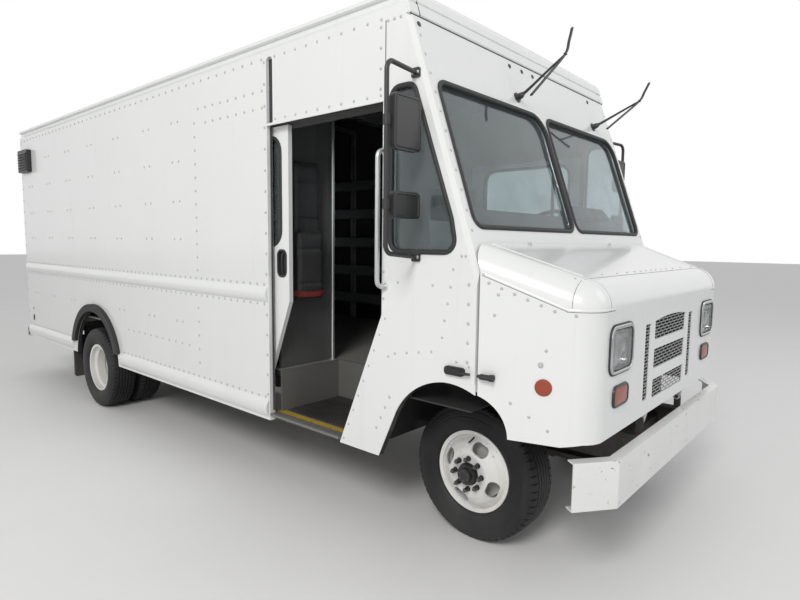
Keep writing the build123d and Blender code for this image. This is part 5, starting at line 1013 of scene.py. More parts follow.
# roof seams with rivets, from above
roofParts = []
for seamY in trimLook["roofSeamY"]:
    across = line((-1.1, seamY, 3.2), (1.1, seamY, 3.2), 0.05)
    hits = castOn("roof", across, -zAxis)
    roofParts.append(followPart(*hits, ridgeSection(0.045, 0.0015)))
    for offset in (-0.032, 0.032):
        dots = castOn("roof", across[::2] + [0, offset, 0], -zAxis)
        roofParts.append(stamped(rivet, *dots, trimLook["roofRivetRadius"]))
edgeStarts = [line((side * 1.075, 0.35, 3.2), (side * 1.075, 5.88, 3.2), 0.12) for side in (-1, 1)]
edgeDots = castOn("roof", np.concatenate(edgeStarts), -zAxis)
makePiece("roof_seams", roofParts + [stamped(rivet, *edgeDots, trimLook["roofRivetRadius"])], "bodyWhite")

# louvres of the side vent: slats with a slanted top, one over the other
ventLook = {"lowZ": 2.328, "pitch": 0.0285, "count": 7, "startY": 5.622, "endY": 5.888, "faceX": 1.1885}
slats = []
for index in range(ventLook["count"]):
    z = ventLook["lowZ"] + index * ventLook["pitch"]
    face = -ventLook["faceX"]
    slat = prismPart([(face, z), (face - 0.011, z + 0.002), (face - 0.012, z + 0.005), (face, z + 0.022)],
        ventLook["startY"], ventLook["endY"], axis=1)
    slats.append(slat)
makePiece("vent_louvres", slats, "blackPlastic")

# pull handles in the sliding doors: a lined cup with a bowed bar
rimSection = [(-0.003, -0.018), (-0.003, 0.001), (0.004, 0.0022), (0.009, 0.001), (0.009, 0.0), (0.0, -0.001),
    (0.0, -0.018)]
pullBar = [(1.082, 1.384), (1.092, 1.405), (1.094, 1.4475), (1.092, 1.49), (1.082, 1.511)]
for sideName, sign in sides:
    y = doorRest[sideName] + 0.07
    cupLoop = plateLoop(0.08, 0.155, 0.03, (sign * 1.098, y, 1.4475), yAxis, zAxis)
    rim = edgeStrip(cupLoop, sign * xAxis, rimSection)
    plate = boxPart((sign * 1.0782, y - 0.038, 1.372), (sign * 1.08, y + 0.038, 1.523), 0.028, axis=0)
    bar = bentTube([(sign * x, y, z) for x, z in pullBar], 0.0085, 10, 0.55, yAxis)
    makePiece("door_pull_" + sideName, [rim, plate, bar], "blackPlastic", sideName + "_cab_door")
    inner = boxPart((sign * 1.0695, y + 0.1, 1.02), (sign * 1.064, y + 0.62, 1.1), 0.02, axis=0)
    makePiece("door_inner_rail_" + sideName, [inner], "millAluminium", sideName + "_cab_door")

# feet of the grab handles and the mirror brackets
footShape = headShape([(-0.05, 1.0), (0.12, 1.0), (0.2, 0.85), (0.22, 0.5)], 20)
feet = [stamped(footShape, onRightSide([(0.312, 2.029), (0.312, 1.361)]), -xAxis, 0.024)]
bracketPlaces = onRightSide([(0.106, 2.366), (0.134, 2.366), (0.091, 1.515), (0.119, 1.515)], 0.01)
bracketBolts = [stamped(bolt, bracketPlaces, -xAxis, 0.0065)]
makePiece("grab_feet", both(feet), "brightSteel")
makePiece("mirror_bolts", both(bracketBolts), "brightSteel")
clamps = [tubePart(np.array([(-1.385, 0.085, z - 0.022), (-1.385, 0.085, z + 0.022)]), 0.0155, 12)
    for z in (2.112, 1.75)]
ribs = [edgeStrip(plateLoop(0.172, height - 0.008, 0.019, (-1.275, 0.0555, z), xAxis, zAxis), -yAxis,
        [(-0.012, 0.0), (-0.008, 0.004), (0.0, 0.0)]) for z, height in ((2.112, 0.242), (1.75, 0.12))]
makePiece("mirror_clamps", both(clamps + ribs), "blackPlastic")

# fuel filler on the left side
fillerShape = [(0.0, 0.075), (0.004, 0.075), (0.006, 0.06), (0.006, 0.052), (0.018, 0.05), (0.024, 0.044),
    (0.026, 0.01)]
filler = [spunPart(fillerShape, (bodyHalf - 0.001, 2.42, 0.985), xAxis, 36),
    boxPart((bodyHalf + 0.02, 2.385, 0.98), (bodyHalf + 0.034, 2.455, 0.99), 0.003, axis=0)]
makePiece("fuel_filler", filler, "blackPlastic")
print("cab and box trimmed")

# step treads: ribbed mats and a serrated sill
stepLook = {"ribPitch": 0.028, "matFrontY": 0.5, "matRearY": 1.265, "toothPitch": 0.0125}
ribY = np.arange(stepLook["matFrontY"] + 0.02, stepLook["matRearY"] - 0.01, stepLook["ribPitch"])
mat = [boxPart((-0.568, stepLook["matFrontY"], 0.5003), (-1.025, stepLook["matRearY"], 0.504), 0.01)]
mat += [boxPart((-0.59, y, 0.5035), (-1.005, y + 0.01, 0.5062), 0.002) for y in ribY]
teeth = [boxPart((-1.104, y, 0.4998), (-1.14, y + 0.006, 0.5022))
    for y in np.arange(0.668, 1.272, stepLook["toothPitch"])]
makePiece("step_mats", both(mat), "blackRubber")
makePiece("step_teeth", both(teeth), "millAluminium")

# rear: seals, lock rods, handle, hinge bolts, treads and tail lamps
rearLook = {
    "rodX": 0.048, "rodY": 6.0135, "rodZ": (0.748, 2.512), "guideZ": [0.86, 1.24, 1.52, 2.08, 2.42],
    "strapX": (0.918, 0.945), "strapZ": (0.95, 1.6, 2.25), "padRows": 4, "padColumns": 46,
    "faceY": 5.9602, "tailX": -1.078, "tailZ": (0.64, 0.77), "markerX": (-1.05, -0.18, 0.0, 0.18, 1.05),
    "markerZ": 2.64,
}
leafLoop = plateLoop(0.936, 1.776, 0.012, (-0.483, 5.9605, 1.63), xAxis, zAxis)
rearSeal = [edgeStrip(leafLoop, yAxis, [(-0.006, 0.0), (-0.005, 0.0045), (0.005, 0.0045), (0.006, 0.0)])]
makePiece("rear_door_seals", both(rearSeal), "blackRubber")
for sideName, sign in sides:
    x, (low, high) = sign * rearLook["rodX"], rearLook["rodZ"]
    rods = [tubePart(line((x, rearLook["rodY"], low), (x, rearLook["rodY"], high), 0.2), 0.0085, 12, 1.0, yAxis)]
    rods += [boxPart((x - 0.022, 5.9975, z - 0.016), (x + 0.022, 6.0265, z + 0.016), 0.008, axis=2)
        for z in rearLook["guideZ"]]
    strapX = sign * np.array(rearLook["strapX"])
    strapZ = np.array(rearLook["strapZ"])[:, None] + [0.0755, 0.1055]
    spots = np.array([(px, 6.004, pz) for px in strapX for pz in strapZ.ravel()])
    rods.append(stamped(bolt, spots, yAxis, 0.0065))
    if sign < 0:
        rods += [boxPart((-0.03, 6.01, 1.34), (-0.066, 6.023, 1.44), 0.006, axis=1),
            bentTube([(-0.048, 6.024, 1.4), (-0.06, 6.04, 1.395), (-0.13, 6.044, 1.372), (-0.205, 6.04, 1.345)],
                [0.012] * 8 + [0.01] * 9 + [0.012] * 8, 10, 0.6, yAxis)]
    makePiece("rear_lock_" + sideName, rods, "brightSteel", sideName + "_rear_door")
pad = boxPart((-0.016, -0.0035, 0.0), (0.016, 0.0035, 0.002), 0.003)     # one raised bar of the tread
padX, padY = np.meshgrid(np.linspace(-1.06, 1.06, rearLook["padColumns"]),
    np.linspace(5.985, 6.082, rearLook["padRows"]))
padX = padX + 0.012 * (np.arange(rearLook["padRows"]) % 2)[:, None]
treads = stamped(pad, np.stack([padX, padY, np.full_like(padX, 0.545)], axis=-1).reshape(-1, 3), zAxis, 1.0)
makePiece("rear_step_tread", [treads], "millAluminium")
stepEndRows = [
    ((-1.098, 5.966, 0.5335), (-1.136, 6.0975, 0.545), 0.01),
    ((-1.098, 5.966, 0.4405), (-1.136, 6.0975, 0.452), 0.01),
    ((-1.098, 6.088, 0.452), (-1.132, 6.0975, 0.5335), 0.003),
]
stepEnds = boxes(*stepEndRows)
makePiece("rear_step_ends", both(stepEnds), "brightSteel")
flapLoop = [(-0.676, 0.182), (-0.69, 0.176), (-1.114, 0.176), (-1.128, 0.19), (-1.128, 0.448), (-1.102, 0.452),
    (-1.102, 0.6), (-0.676, 0.6)]
flapY = nodes["mud_flaps"].data.vertices[0].co.y - axleY
flaps = [prismPart(flapLoop, flapY - 0.013, flapY + 0.013, axis=1)]
flaps += [boxPart((x, flapY + 0.012, 0.2), (x - 0.012, flapY + 0.0165, 0.56), 0.004, axis=2)
    for x in np.linspace(-0.72, -1.07, 8)]
flaps += [stamped(bolt, [(x, flapY + 0.013, 0.585) for x in (-0.72, -0.84, -0.96, -1.06)], yAxis, 0.008)]
makePiece("flap_sheets", both(flaps), "blackRubber")
lampShape = [(0.0, 0.047), (0.014, 0.047), (0.018, 0.041), (0.0185, 0.038), (0.0205, 0.03), (0.0215, 0.015),
    (0.0218, 0.004)]
ringShape = [(0.0, 0.0515), (0.01, 0.0515), (0.013, 0.049), (0.01, 0.0472), (0.0, 0.0472)]
tailPlaces = [(rearLook["tailX"], rearLook["faceY"], z) for z in rearLook["tailZ"]]
tailLens = [spunPart(lampShape, place, yAxis, 32) for place in tailPlaces]
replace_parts(makePiece("tail_lenses", both(tailLens), "redLens"), "tail_lamps")
rings = [spunPart(ringShape, place, yAxis, 32) for place in tailPlaces]
makePiece("tail_rings", both(rings), "blackRubber")
markerShape = [(0.0, 0.028), (0.01, 0.027), (0.018, 0.018), (0.02, 0.004)]
markerPlaces = [(x, rearLook["faceY"], rearLook["markerZ"]) for x in rearLook["markerX"]]
roofLamps = [spunPart(markerShape, place, yAxis, 24) for place in markerPlaces]
makePiece("rear_markers", roofLamps, "redLens")
print("rear dressed")

# wheels: nut tips, valve stems and hub bolts
nutTip = headShape([(0.0, 0.92), (0.25, 0.92), (0.5, 0.7), (0.95, 0.62), (1.05, 0.35)], 12)
wheelLook = {
    # wheel name, outward face of the studs, hub face, valve place, axle y
    "rows": [("front", 0.848, 0.86, 0.79, 0.0), ("rear", 0.962, 1.006, 0.945, wheelBase)],
    "tipRadius": 0.0105, "hubBoltCircle": 0.027, "hubBoltRadius": 0.0045,
    # the valve's stem: outwards from its place, and up from the axle
    "valve": [(-0.02, 0.186), (0.0, 0.178), (0.03, 0.17)],
}


def aroundAxle(x, axisY, radius, count, start=0.0):
    # places on a circle: axle + radius * (cosine, sine) of equal angles
    angle = np.radians(start) + np.arange(count) * 2 * np.pi / count
    return np.stack([np.full(count, x), axisY + radius * np.cos(angle), axleZ + radius * np.sin(angle)], axis=-1)


for wheelName, studX, hubX, valveX, wheelY in wheelLook["rows"]:
    for sideName, sign in sides:
        body = sideName + ("_front_wheel" if wheelName == "front" else "_rear_wheels")
        tipPlaces = aroundAxle(sign * studX, wheelY, maskPlaces["nutCircle"], 8)
        boltPlaces = aroundAxle(sign * hubX, wheelY, wheelLook["hubBoltCircle"], 6, 30)
        hubParts = [stamped(nutTip, tipPlaces, sign * xAxis, wheelLook["tipRadius"]),
            stamped(bolt, boltPlaces, sign * xAxis, wheelLook["hubBoltRadius"])]
        makePiece(wheelName + "_hub_parts_" + sideName, hubParts, "castIron", body)
        stem = [(sign * (valveX + out), wheelY, axleZ + rise) for out, rise in wheelLook["valve"]]
        valve = bentTube(stem, [0.005] * 8 + [0.0042] * 9, 10)
        makePiece(wheelName + "_valve_" + sideName, [valve], "blackRubber", body)

# duct between grille and radiator, and the radiator's core
duct = [boxPart((-0.428, -0.708, 0.79), (-0.424, -0.56, 1.232))]
duct += [boxPart((-0.424, -0.58, 0.79), (-0.342, -0.576, 1.232))]
duct = both(duct) + [boxPart((-0.428, -0.708, 1.232), (0.428, -0.545, 1.236))]
tubes = [boxPart((x, -0.5985, 0.672), (x + 0.003, -0.5925, 1.138)) for x in np.linspace(-0.305, 0.302, 62)]
makePiece("radiator_duct", duct + tubes, "chassisBlack")
print("wheels and radiator dressed")

# padded seats: each pad starts a little small, swells under pressure and is sewn and piped afterwards
padTable = {
    "voxel": 0.007, "pressure": 4.0, "frames": 20, "drawIn": 0.035, "roundness": (0.42, 0.22),
    "channelDepth": 0.006, "channelWidth": 0.01, "reach": 0.02, "pipingRadius": 0.0042,
    # centre, half sizes across, along and through, direction along, channels along the pad, how far it may swell
    "driver": [
        ((0.55, 0.905, 1.164), (0.206, 0.228, 0.06), (0.0, 1.0, 0.0), (-0.14, -0.05, 0.04, 0.13), 0.012),
        ((0.55, 1.166, 1.503), (0.206, 0.276, 0.042), (0.0, 0.054, 1.0), (-0.18, -0.09, 0.0, 0.09, 0.18), 0.01),
        ((0.55, 1.188, 1.925), (0.145, 0.112, 0.04), (0.0, 0.054, 1.0), (), 0.01),
    ],
    "jump": [
        ((-0.86, 1.281, 1.845), (0.11, 0.252, 0.027), (0.0, 0.0, 1.0), (-0.12, 0.12), 0.006),
        ((-0.86, 1.26, 1.425), (0.118, 0.225, 0.044), (0.0, 0.0, 1.0), (-0.11, 0.11), 0.006),
    ],
}


def power(value, exponent):
    # a power that keeps the sign of its value
    return np.sign(value) * np.abs(value) ** exponent


def padPart(centre, half, along, table):
    # superellipsoid: the cosine and sine of both angles raised to a small power; each side is drawn in by a share
    # that falls to nothing at its corners
    (edge, corner), drawIn = table["roundness"], table["drawIn"]
    u = fullTurn(96)[None, :]
    v = np.linspace(-np.pi / 2, np.pi / 2, 41)[:, None]
    across = power(np.cos(v), edge) * power(np.cos(u), corner)
    length = power(np.cos(v), edge) * power(np.sin(u), corner)
    depth = power(np.sin(v), edge) + 0 * u
    pulledAcross = across * (1 - drawIn * (1 - length ** 2)) * half[0]
    pulledLength = length * (1 - drawIn * (1 - across ** 2)) * half[1]
    along = unit(along)
    points = (np.asarray(centre) + pulledAcross[..., None] * xAxis + pulledLength[..., None] * along
        + (depth * half[2])[..., None] * np.cross(xAxis, along))
    return gridPart(points, wrapColumns=True)


def remeshed(piece, voxel):
    # one closed skin of even faces over all the pads
    cut = piece.modifiers.new("remesh", "REMESH")
    cut.mode = "VOXEL"
    cut.voxel_size = voxel
    mesh = bpy.data.meshes.new_from_object(piece.evaluated_get(bpy.context.evaluated_depsgraph_get()))
    piece.modifiers.clear()
    material = piece.data.materials[0]
    piece.data = mesh
    mesh.materials.clear()
    mesh.materials.append(material)


def meshPoints(mesh, kind="vertices", field="co"):
    # a row of three numbers for each vertex: its place or its normal
    values = np.empty(len(mesh.vertices) * 3)
    getattr(mesh, kind).foreach_get(field, values)
    return values.reshape(-1, 3)


def swell(piece, pads, table):
    # cloth under pressure; no point moves further than its pad allows
    cloth = piece.modifiers.new("cloth", "CLOTH")
    cloth.settings.use_pressure = True
    cloth.settings.uniform_pressure_force = table["pressure"]
    cloth.settings.effector_weights.gravity = 0.0
    cloth.point_cache.frame_end = table["frames"]
    for step in range(1, table["frames"] + 1):
        bpy.context.scene.frame_set(step)
    start = meshPoints(piece.data)
    moved = meshPoints(piece.evaluated_get(bpy.context.evaluated_depsgraph_get()).to_mesh())
    piece.modifiers.remove(cloth)
    bpy.context.scene.frame_set(1)
    distance = np.linalg.norm(moved - start, axis=1, keepdims=True)
    centres = np.array([pad[0] for pad in pads]) + [0.0, axleY, 0.0]
    nearest = np.argmin(np.linalg.norm(start[:, None, :] - centres[None], axis=2), axis=1)
    allowed = np.array([pad[4] for pad in pads])[nearest][:, None]
    print("  swell, mean and most:", round(float(distance.mean()), 4), round(float(distance.max()), 4))
    placed = start + (moved - start) * np.minimum(1.0, allowed / np.maximum(distance, 1e-9))
    piece.data.vertices.foreach_set("co", placed.ravel())


def sewChannels(piece, pads, table):
    # depth * sum of exp(-((distance along the pad - channel) / width)^2), only where the pad faces its sitter
    mesh = piece.data
    points, normals = meshPoints(mesh), meshPoints(mesh, "vertex_normals", "vector")
    for centre, half, along, channels, _ in pads:
        along = unit(along)
        local = points - np.asarray(centre) - [0.0, axleY, 0.0]
        facing = np.clip(normals @ np.cross(xAxis, along) * 2 - 0.8, 0, 1)
        lengthwise, through = np.abs(local @ along), np.abs(local @ np.cross(xAxis, along))
        inside = (lengthwise < half[1] + table["reach"]) & (through < half[2] + table["reach"])
        depth = sum(np.exp(-((local @ along - place) / table["channelWidth"]) ** 2) for place in channels)
        points = points - normals * (depth * facing * inside * table["channelDepth"])[:, None]
    mesh.vertices.foreach_set("co", points.ravel())
    mesh.update()


def pipingPart(piece, pad, share, radius):
    # a cord laid where rays from all round, at one height through the pad, meet its side
    centre, half, along, _, _ = pad
    along = unit(along)
    through = np.cross(xAxis, along)
    angle = fullTurn(90)[:, None]
    level = np.asarray(centre) + through * half[2] * share
    ways = unit(np.cos(angle) * half[0] * xAxis + np.sin(angle) * half[1] * along)
    places = castOn(piece, level + ways * 0.6, -ways)[0]
    return edgeStrip(places, through, ellipse(radius, radius, 8))


piping = []
for seatName, nodeName in (("driver", "driver_seat"), ("jump", "jump_seat")):
    pads = padTable[seatName]
    padParts = [padPart(centre, half, along, padTable) for centre, half, along, _, _ in pads]
    seat = makePiece(seatName + "_seat_pads", padParts, "seatVinyl")
    remeshed(seat, padTable["voxel"])
    swell(seat, pads, padTable)
    sewChannels(seat, pads, padTable)
    seat.data.polygons.foreach_set("use_smooth", [True] * len(seat.data.polygons))
    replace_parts(seat, nodeName)
    piping += [pipingPart(seat, pad, share, padTable["pipingRadius"]) for pad in pads for share in (0.62, -0.62)]
makePiece("seat_piping", piping, "blackRubber")
print("seats padded")

# cab interior
cabLook = {
    "dials": [(0.445, 1.792, 0.03), (0.55, 1.795, 0.034), (0.655, 1.792, 0.03)],
    "vents": [(-0.86, 1.66), (-0.3, 1.66), (0.2, 1.66), (0.93, 1.66)],
    "switchX": np.linspace(0.3, 0.8, 8), "wheelHub": (0.55, 0.41, 1.705), "wheelNormal": (0.0, 0.5, 0.866),
    "slatZ": [0.98, 1.28, 1.58, 1.88, 2.18],
}


def dashPlace(x, z, out=0.0):
    # a place on the leaning face of the dashboard
    return (x, 0.08 + 0.0476 * (z - 1.42) + out, z)


hoodLoop = roundedLoop([(-0.1, 1.745), (-0.03, 1.825), (0.085, 1.842), (0.112, 1.832), (0.094, 1.745)], 0.01, 5)
dashParts = [prismPart(hoodLoop, 0.375, 0.725)]
ventShape = [(-0.004, 0.05), (0.006, 0.05), (0.01, 0.046), (0.006, 0.041), (-0.004, 0.041)]
for x, z in cabLook["vents"]:
    dashParts.append(spunPart(ventShape, dashPlace(x, z), yAxis, 28))
    dashParts += [boxPart(dashPlace(x - 0.04, z + step, -0.003), dashPlace(x + 0.04, z + step + 0.004, 0.006))
        for step in (-0.024, -0.008, 0.008, 0.024)]
dashParts += [boxPart(dashPlace(0.27, 1.585, -0.004), dashPlace(0.83, 1.655, 0.005), 0.01, axis=1)]
dashParts += [boxPart(dashPlace(x, 1.6, 0.003), dashPlace(x + 0.03, 1.64, 0.011), 0.005, axis=1)
    for x in cabLook["switchX"]]
dashParts += [boxPart(dashPlace(-0.11, 1.59, -0.004), dashPlace(0.11, 1.655, 0.007), 0.008, axis=1)]
hub, hubAxis = np.array(cabLook["wheelHub"]), unit(cabLook["wheelNormal"])
hubShape = [(-0.02, 0.046), (0.012, 0.05), (0.02, 0.044), (0.024, 0.03), (0.025, 0.005)]
dashParts.append(spunPart(hubShape, hub, hubAxis, 32))
stalk = [hub - hubAxis * down - xAxis * out for down, out in ((0.1, 0.03), (0.1, 0.12), (0.06, 0.2))]
dashParts.append(bentTube(stalk, [0.006] * 14 + [0.012] * 3, 10))
for x, low, high, wide in ((0.47, 0.875, 0.945, 0.045), (0.63, 0.8, 0.93, 0.026)):
    pedal = [(-0.06, low), (-0.048, low - 0.006), (-0.092, high), (-0.104, high)]
    dashParts.append(prismPart(pedal, x - wide, x + wide))
    dashParts.append(bentTube([(x, -0.09, (low + high) / 2), (x, -0.125, 1.03), (x, -0.115, 1.153)], 0.0085, 8))
makePiece("dash_fittings", dashParts, "blackPlastic")
dialParts = [spunPart([(0.0, radius), (0.004, radius), (0.0045, radius * 0.9)], (x, 0.1015, z), yAxis, 32)
    for x, z, radius in cabLook["dials"]]
makePiece("dash_dials", dialParts, "dialFace")
dialRims = [spunPart([(0.003, radius + 0.003), (0.007, radius + 0.002), (0.007, radius), (0.003, radius)],
        (x, 0.1015, z), yAxis, 32) for x, z, radius in cabLook["dials"]]
for x, z, radius in cabLook["dials"]:
    angle = np.radians(np.arange(-40, 221, 26))[:, None]
    spoke = np.concatenate([-np.cos(angle), np.zeros_like(angle), np.sin(angle)], axis=1)
    dialRims += [tubePart(np.array([[x, 0.1065, z]]) + way * radius * np.array([[0.78], [0.92]]), 0.0009, 4)
        for way in spoke]
    dialRims.append(tubePart(np.array([(x, 0.107, z), (x - radius * 0.5, 0.107, z - radius * 0.45)]), 0.0012, 5))
makePiece("dash_dial_rims", dialRims, "brightSteel")

mats = [boxPart((-0.3, -0.14, 1.1495), (0.3, 0.42, 1.156), 0.04)]
mats += [boxPart((-0.27, y, 1.1555), (0.27, y + 0.008, 1.1585)) for y in np.linspace(-0.1, 0.38, 17)]
for sign in (-1, 1):
    grip = [(sign * x, 0.36, z) for x, z in ((0.361, 0.86), (0.372, 0.83), (0.372, 0.79), (0.361, 0.775))]
    mats.append(bentTube(grip, 0.011, 8, 0.5, yAxis))
mats += [boxPart((sign * 0.26, 0.186, 2.325), (sign * 0.84, 0.198, 2.455), 0.03, axis=1) for sign in (-1, 1)]
mats += [boxPart((side, 1.075, 1.1), (side + 0.012, 1.165, 1.36), 0.03, axis=0) for side in (0.322, 0.766)]
makePiece("cab_mats", mats, "blackRubber")

beltPath = smoothPath([(-1.0, 1.296, 1.262), (-0.984, 1.235, 1.255), (-0.93, 1.208, 1.248), (-0.86, 1.2055, 1.244),
        (-0.79, 1.208, 1.248), (-0.736, 1.235, 1.255), (-0.722, 1.296, 1.262)], 6)
belts = [tubePart(beltPath, 0.017, 8, 0.06, yAxis)]
belts += boxes(((-1.03, 1.3095, 1.26), (-0.99, 1.3135, 2.02), 0.001),
    ((1.04, 1.3, 1.18), (1.044, 1.262, 2.02), 0.001))
makePiece("seat_belts", belts, "beltRed")
buckles = boxes(((-1.045, 1.268, 1.14), (-0.975, 1.3145, 1.27), 0.012),
    ((-1.032, 1.3, 2.0), (-0.988, 1.3145, 2.06), 0.008), ((1.03, 1.25, 1.08), (1.066, 1.3145, 1.2), 0.012),
    ((1.034, 1.255, 2.0), (1.066, 1.3145, 2.06), 0.008))
makePiece("belt_reels", buckles, "blackPlastic")
bars = [tubePart(line((-0.6025, 1.3, 0.768), (-0.6025, 1.3, 2.45), 0.2), 0.014, 14)]
bars += [stamped(footShape, [(-0.6025, 1.3, 0.766)], zAxis, 0.03)]
makePiece("cab_post", bars, "brightSteel")

# hat posts, cargo slats, roof bows and lamps in the box
hat = np.array([(-0.045, 0.0), (-0.022, 0.002), (-0.018, 0.028), (0.018, 0.028), (0.022, 0.002), (0.045, 0.0),
        (0.045, -0.001), (-0.045, -0.001)])
linings = []
for y in sideRivetTable["postY"]:
    low = 0.86 if 3.5 < y < 4.5 else 0.766
    side = np.column_stack([-1.1045 + hat[:, 1], y + hat[:, 0]])
    linings += [prismPart(side, low, 2.735, axis=2), prismPart(side * [-1, 1], low, 2.735, axis=2)]
    bow = np.column_stack([y + hat[:, 0], 2.7625 - hat[:, 1]])
    linings.append(prismPart(bow, -1.1, 1.1, axis=0))
for z in cabLook["slatZ"]:
    slat = np.array([(-1.077, z - 0.055), (-1.061, z - 0.045), (-1.061, z + 0.045), (-1.077, z + 0.055)])
    linings += [prismPart(slat, 2.32, 5.86, axis=1), prismPart(slat * [-1, 1], 2.32, 5.86, axis=1)]
makePiece("cargo_lining", linings, "millAluminium")
domes = [spunPart([(0.0, 0.075), (0.01, 0.074), (0.024, 0.055), (0.03, 0.02)], (0.0, y, 2.762), -zAxis, 28)
    for y in (0.8, 3.14, 4.83)]
makePiece("roof_domes", domes, "lampGlass")
print("cab and cargo room fitted")

# engine bay
fanLook = {
    "centre": (0.0, -0.512, 0.9), "blades": 7, "pitch": 28.0,
    "radii": [0.045, 0.09, 0.15, 0.215], "halfWidths": [0.02, 0.028, 0.032, 0.036],
}


def fanBlade(look, index):
    # a flat tube along the radius whose thin direction leans from the axle by the pitch
    angle = 2 * np.pi * index / look["blades"]
    way = np.array([np.cos(angle), 0.0, np.sin(angle)])
    turn = np.array([-np.sin(angle), 0.0, np.cos(angle)])
    pitch = math.radians(look["pitch"])
    path = np.array(look["centre"]) + way * np.array(look["radii"])[:, None]
    return tubePart(path, look["halfWidths"], 8, 0.09, np.cos(pitch) * yAxis + np.sin(pitch) * turn)


shroudLoop = onPlane(ellipse(0.235, 0.235, 48), (0.0, -0.52, 0.905), xAxis, zAxis)
shroudSection = [(0.0, -0.022), (0.0, 0.014), (0.004, 0.014), (0.006, -0.018), (0.045, -0.024), (0.045, -0.028)]
fanHubShape = [(-0.01, 0.052), (0.012, 0.052), (0.018, 0.04), (0.062, 0.036)]
filterShape = [(-0.09, 0.106), (-0.085, 0.11), (0.02, 0.11), (0.026, 0.113), (0.034, 0.113), (0.04, 0.104),
    (0.07, 0.098), (0.078, 0.085), (0.08, 0.01)]
ductPath = [(0.34, -0.4, 1.155), (0.26, -0.405, 1.165), (0.16, -0.39, 1.155), (0.1, -0.37, 1.11)]
hosePaths = [
    [(-0.2, -0.548, 1.12), (-0.2, -0.505, 1.145), (-0.15, -0.47, 1.135), (-0.1, -0.44, 1.085)],
    [(0.24, -0.546, 0.7), (0.22, -0.5, 0.69), (0.14, -0.47, 0.7), (0.12, -0.44, 0.73)],
]
airParts = [fanBlade(fanLook, index) for index in range(fanLook["blades"])]
airParts += [spunPart(fanHubShape, fanLook["centre"], yAxis, 24), edgeStrip(shroudLoop, yAxis, shroudSection)]
airParts += [spunPart(filterShape, (0.43, -0.395, 1.13), zAxis, 36)]
airParts += boxes(((0.4, -0.3, 1.08), (0.46, -0.243, 1.15), 0.01))
airParts += [bentTube(ductPath, 0.038, 14)]
# the battery, its lid and its tray
airParts += boxes(((-0.7, -0.5, 0.876), (-0.42, -0.29, 1.08), 0.012),
    ((-0.71, -0.51, 1.076), (-0.41, -0.28, 1.094), 0.014), ((-0.71, -0.505, 0.868), (-0.41, -0.243, 0.876), 0.004))
hoses = [bentTube(path, 0.021, 12) for path in hosePaths]
makePiece("engine_air_parts", airParts + hoses, "blackPlastic")
engineParts = []
for sign in (-1, 1):
    cover = boxPart((sign * 0.105, -0.44, 1.076), (sign * 0.225, -0.25, 1.126), 0.018, axis=1)
    engineParts += [cover, stamped(bolt, [(sign * 0.165, y, 1.127) for y in (-0.41, -0.28)], zAxis, 0.008)]
engineParts += [boxPart((-0.085, -0.43, 1.076), (0.085, -0.25, 1.1), 0.01)]
for x, z, radius in ((0.0, 0.9, 0.062), (0.0, 0.69, 0.08), (0.165, 1.02, 0.042), (-0.165, 0.99, 0.05)):
    groove = [(-0.022, radius * 0.3), (-0.02, radius), (-0.014, radius), (-0.01, radius - 0.008), (-0.004, radius),
        (0.0, radius), (0.022, radius * 0.5)]
    engineParts.append(spunPart(groove, (x, -0.452, z), yAxis, 28))
beltLoop = onPlane(roundedLoop([(-0.222, 1.045), (0.214, 1.068), (0.084, 0.606), (-0.084, 0.606)],
        [0.046, 0.04, 0.076, 0.076]), (0, -0.462, 0), xAxis, zAxis)
makePiece("engine_front", engineParts, "castIron")
driveBelt = [edgeStrip(beltLoop, yAxis, [(-0.003, -0.005), (0.002, -0.005), (0.002, 0.005), (-0.003, 0.005)])]
caps = [spunPart([(0.0, 0.028), (0.018, 0.028), (0.022, 0.022), (0.022, 0.008)], place, zAxis, 20)
    for place in ((0.7, -0.335, 1.3), (-0.62, -0.4, 1.094), (-0.5, -0.4, 1.094), (0.05, -0.573, 1.18))]
makePiece("engine_belt", driveBelt + caps, "blackRubber")
tank = boxes(((0.62, -0.42, 1.1), (0.78, -0.243, 1.285), 0.025), ((0.64, -0.4, 1.284), (0.76, -0.265, 1.301), 0.03))
makePiece("coolant_tank", tank, "tankWhite")
shroud = [boxPart((-0.438, -0.7205, 0.785), (-0.434, -0.69, 1.241))]
shroud = both(shroud) + [boxPart((-0.438, -0.7205, 1.241), (0.438, -0.69, 1.245))]
makePiece("grille_shroud", shroud, "blackRubber", "hood")
print("engine bay fitted")

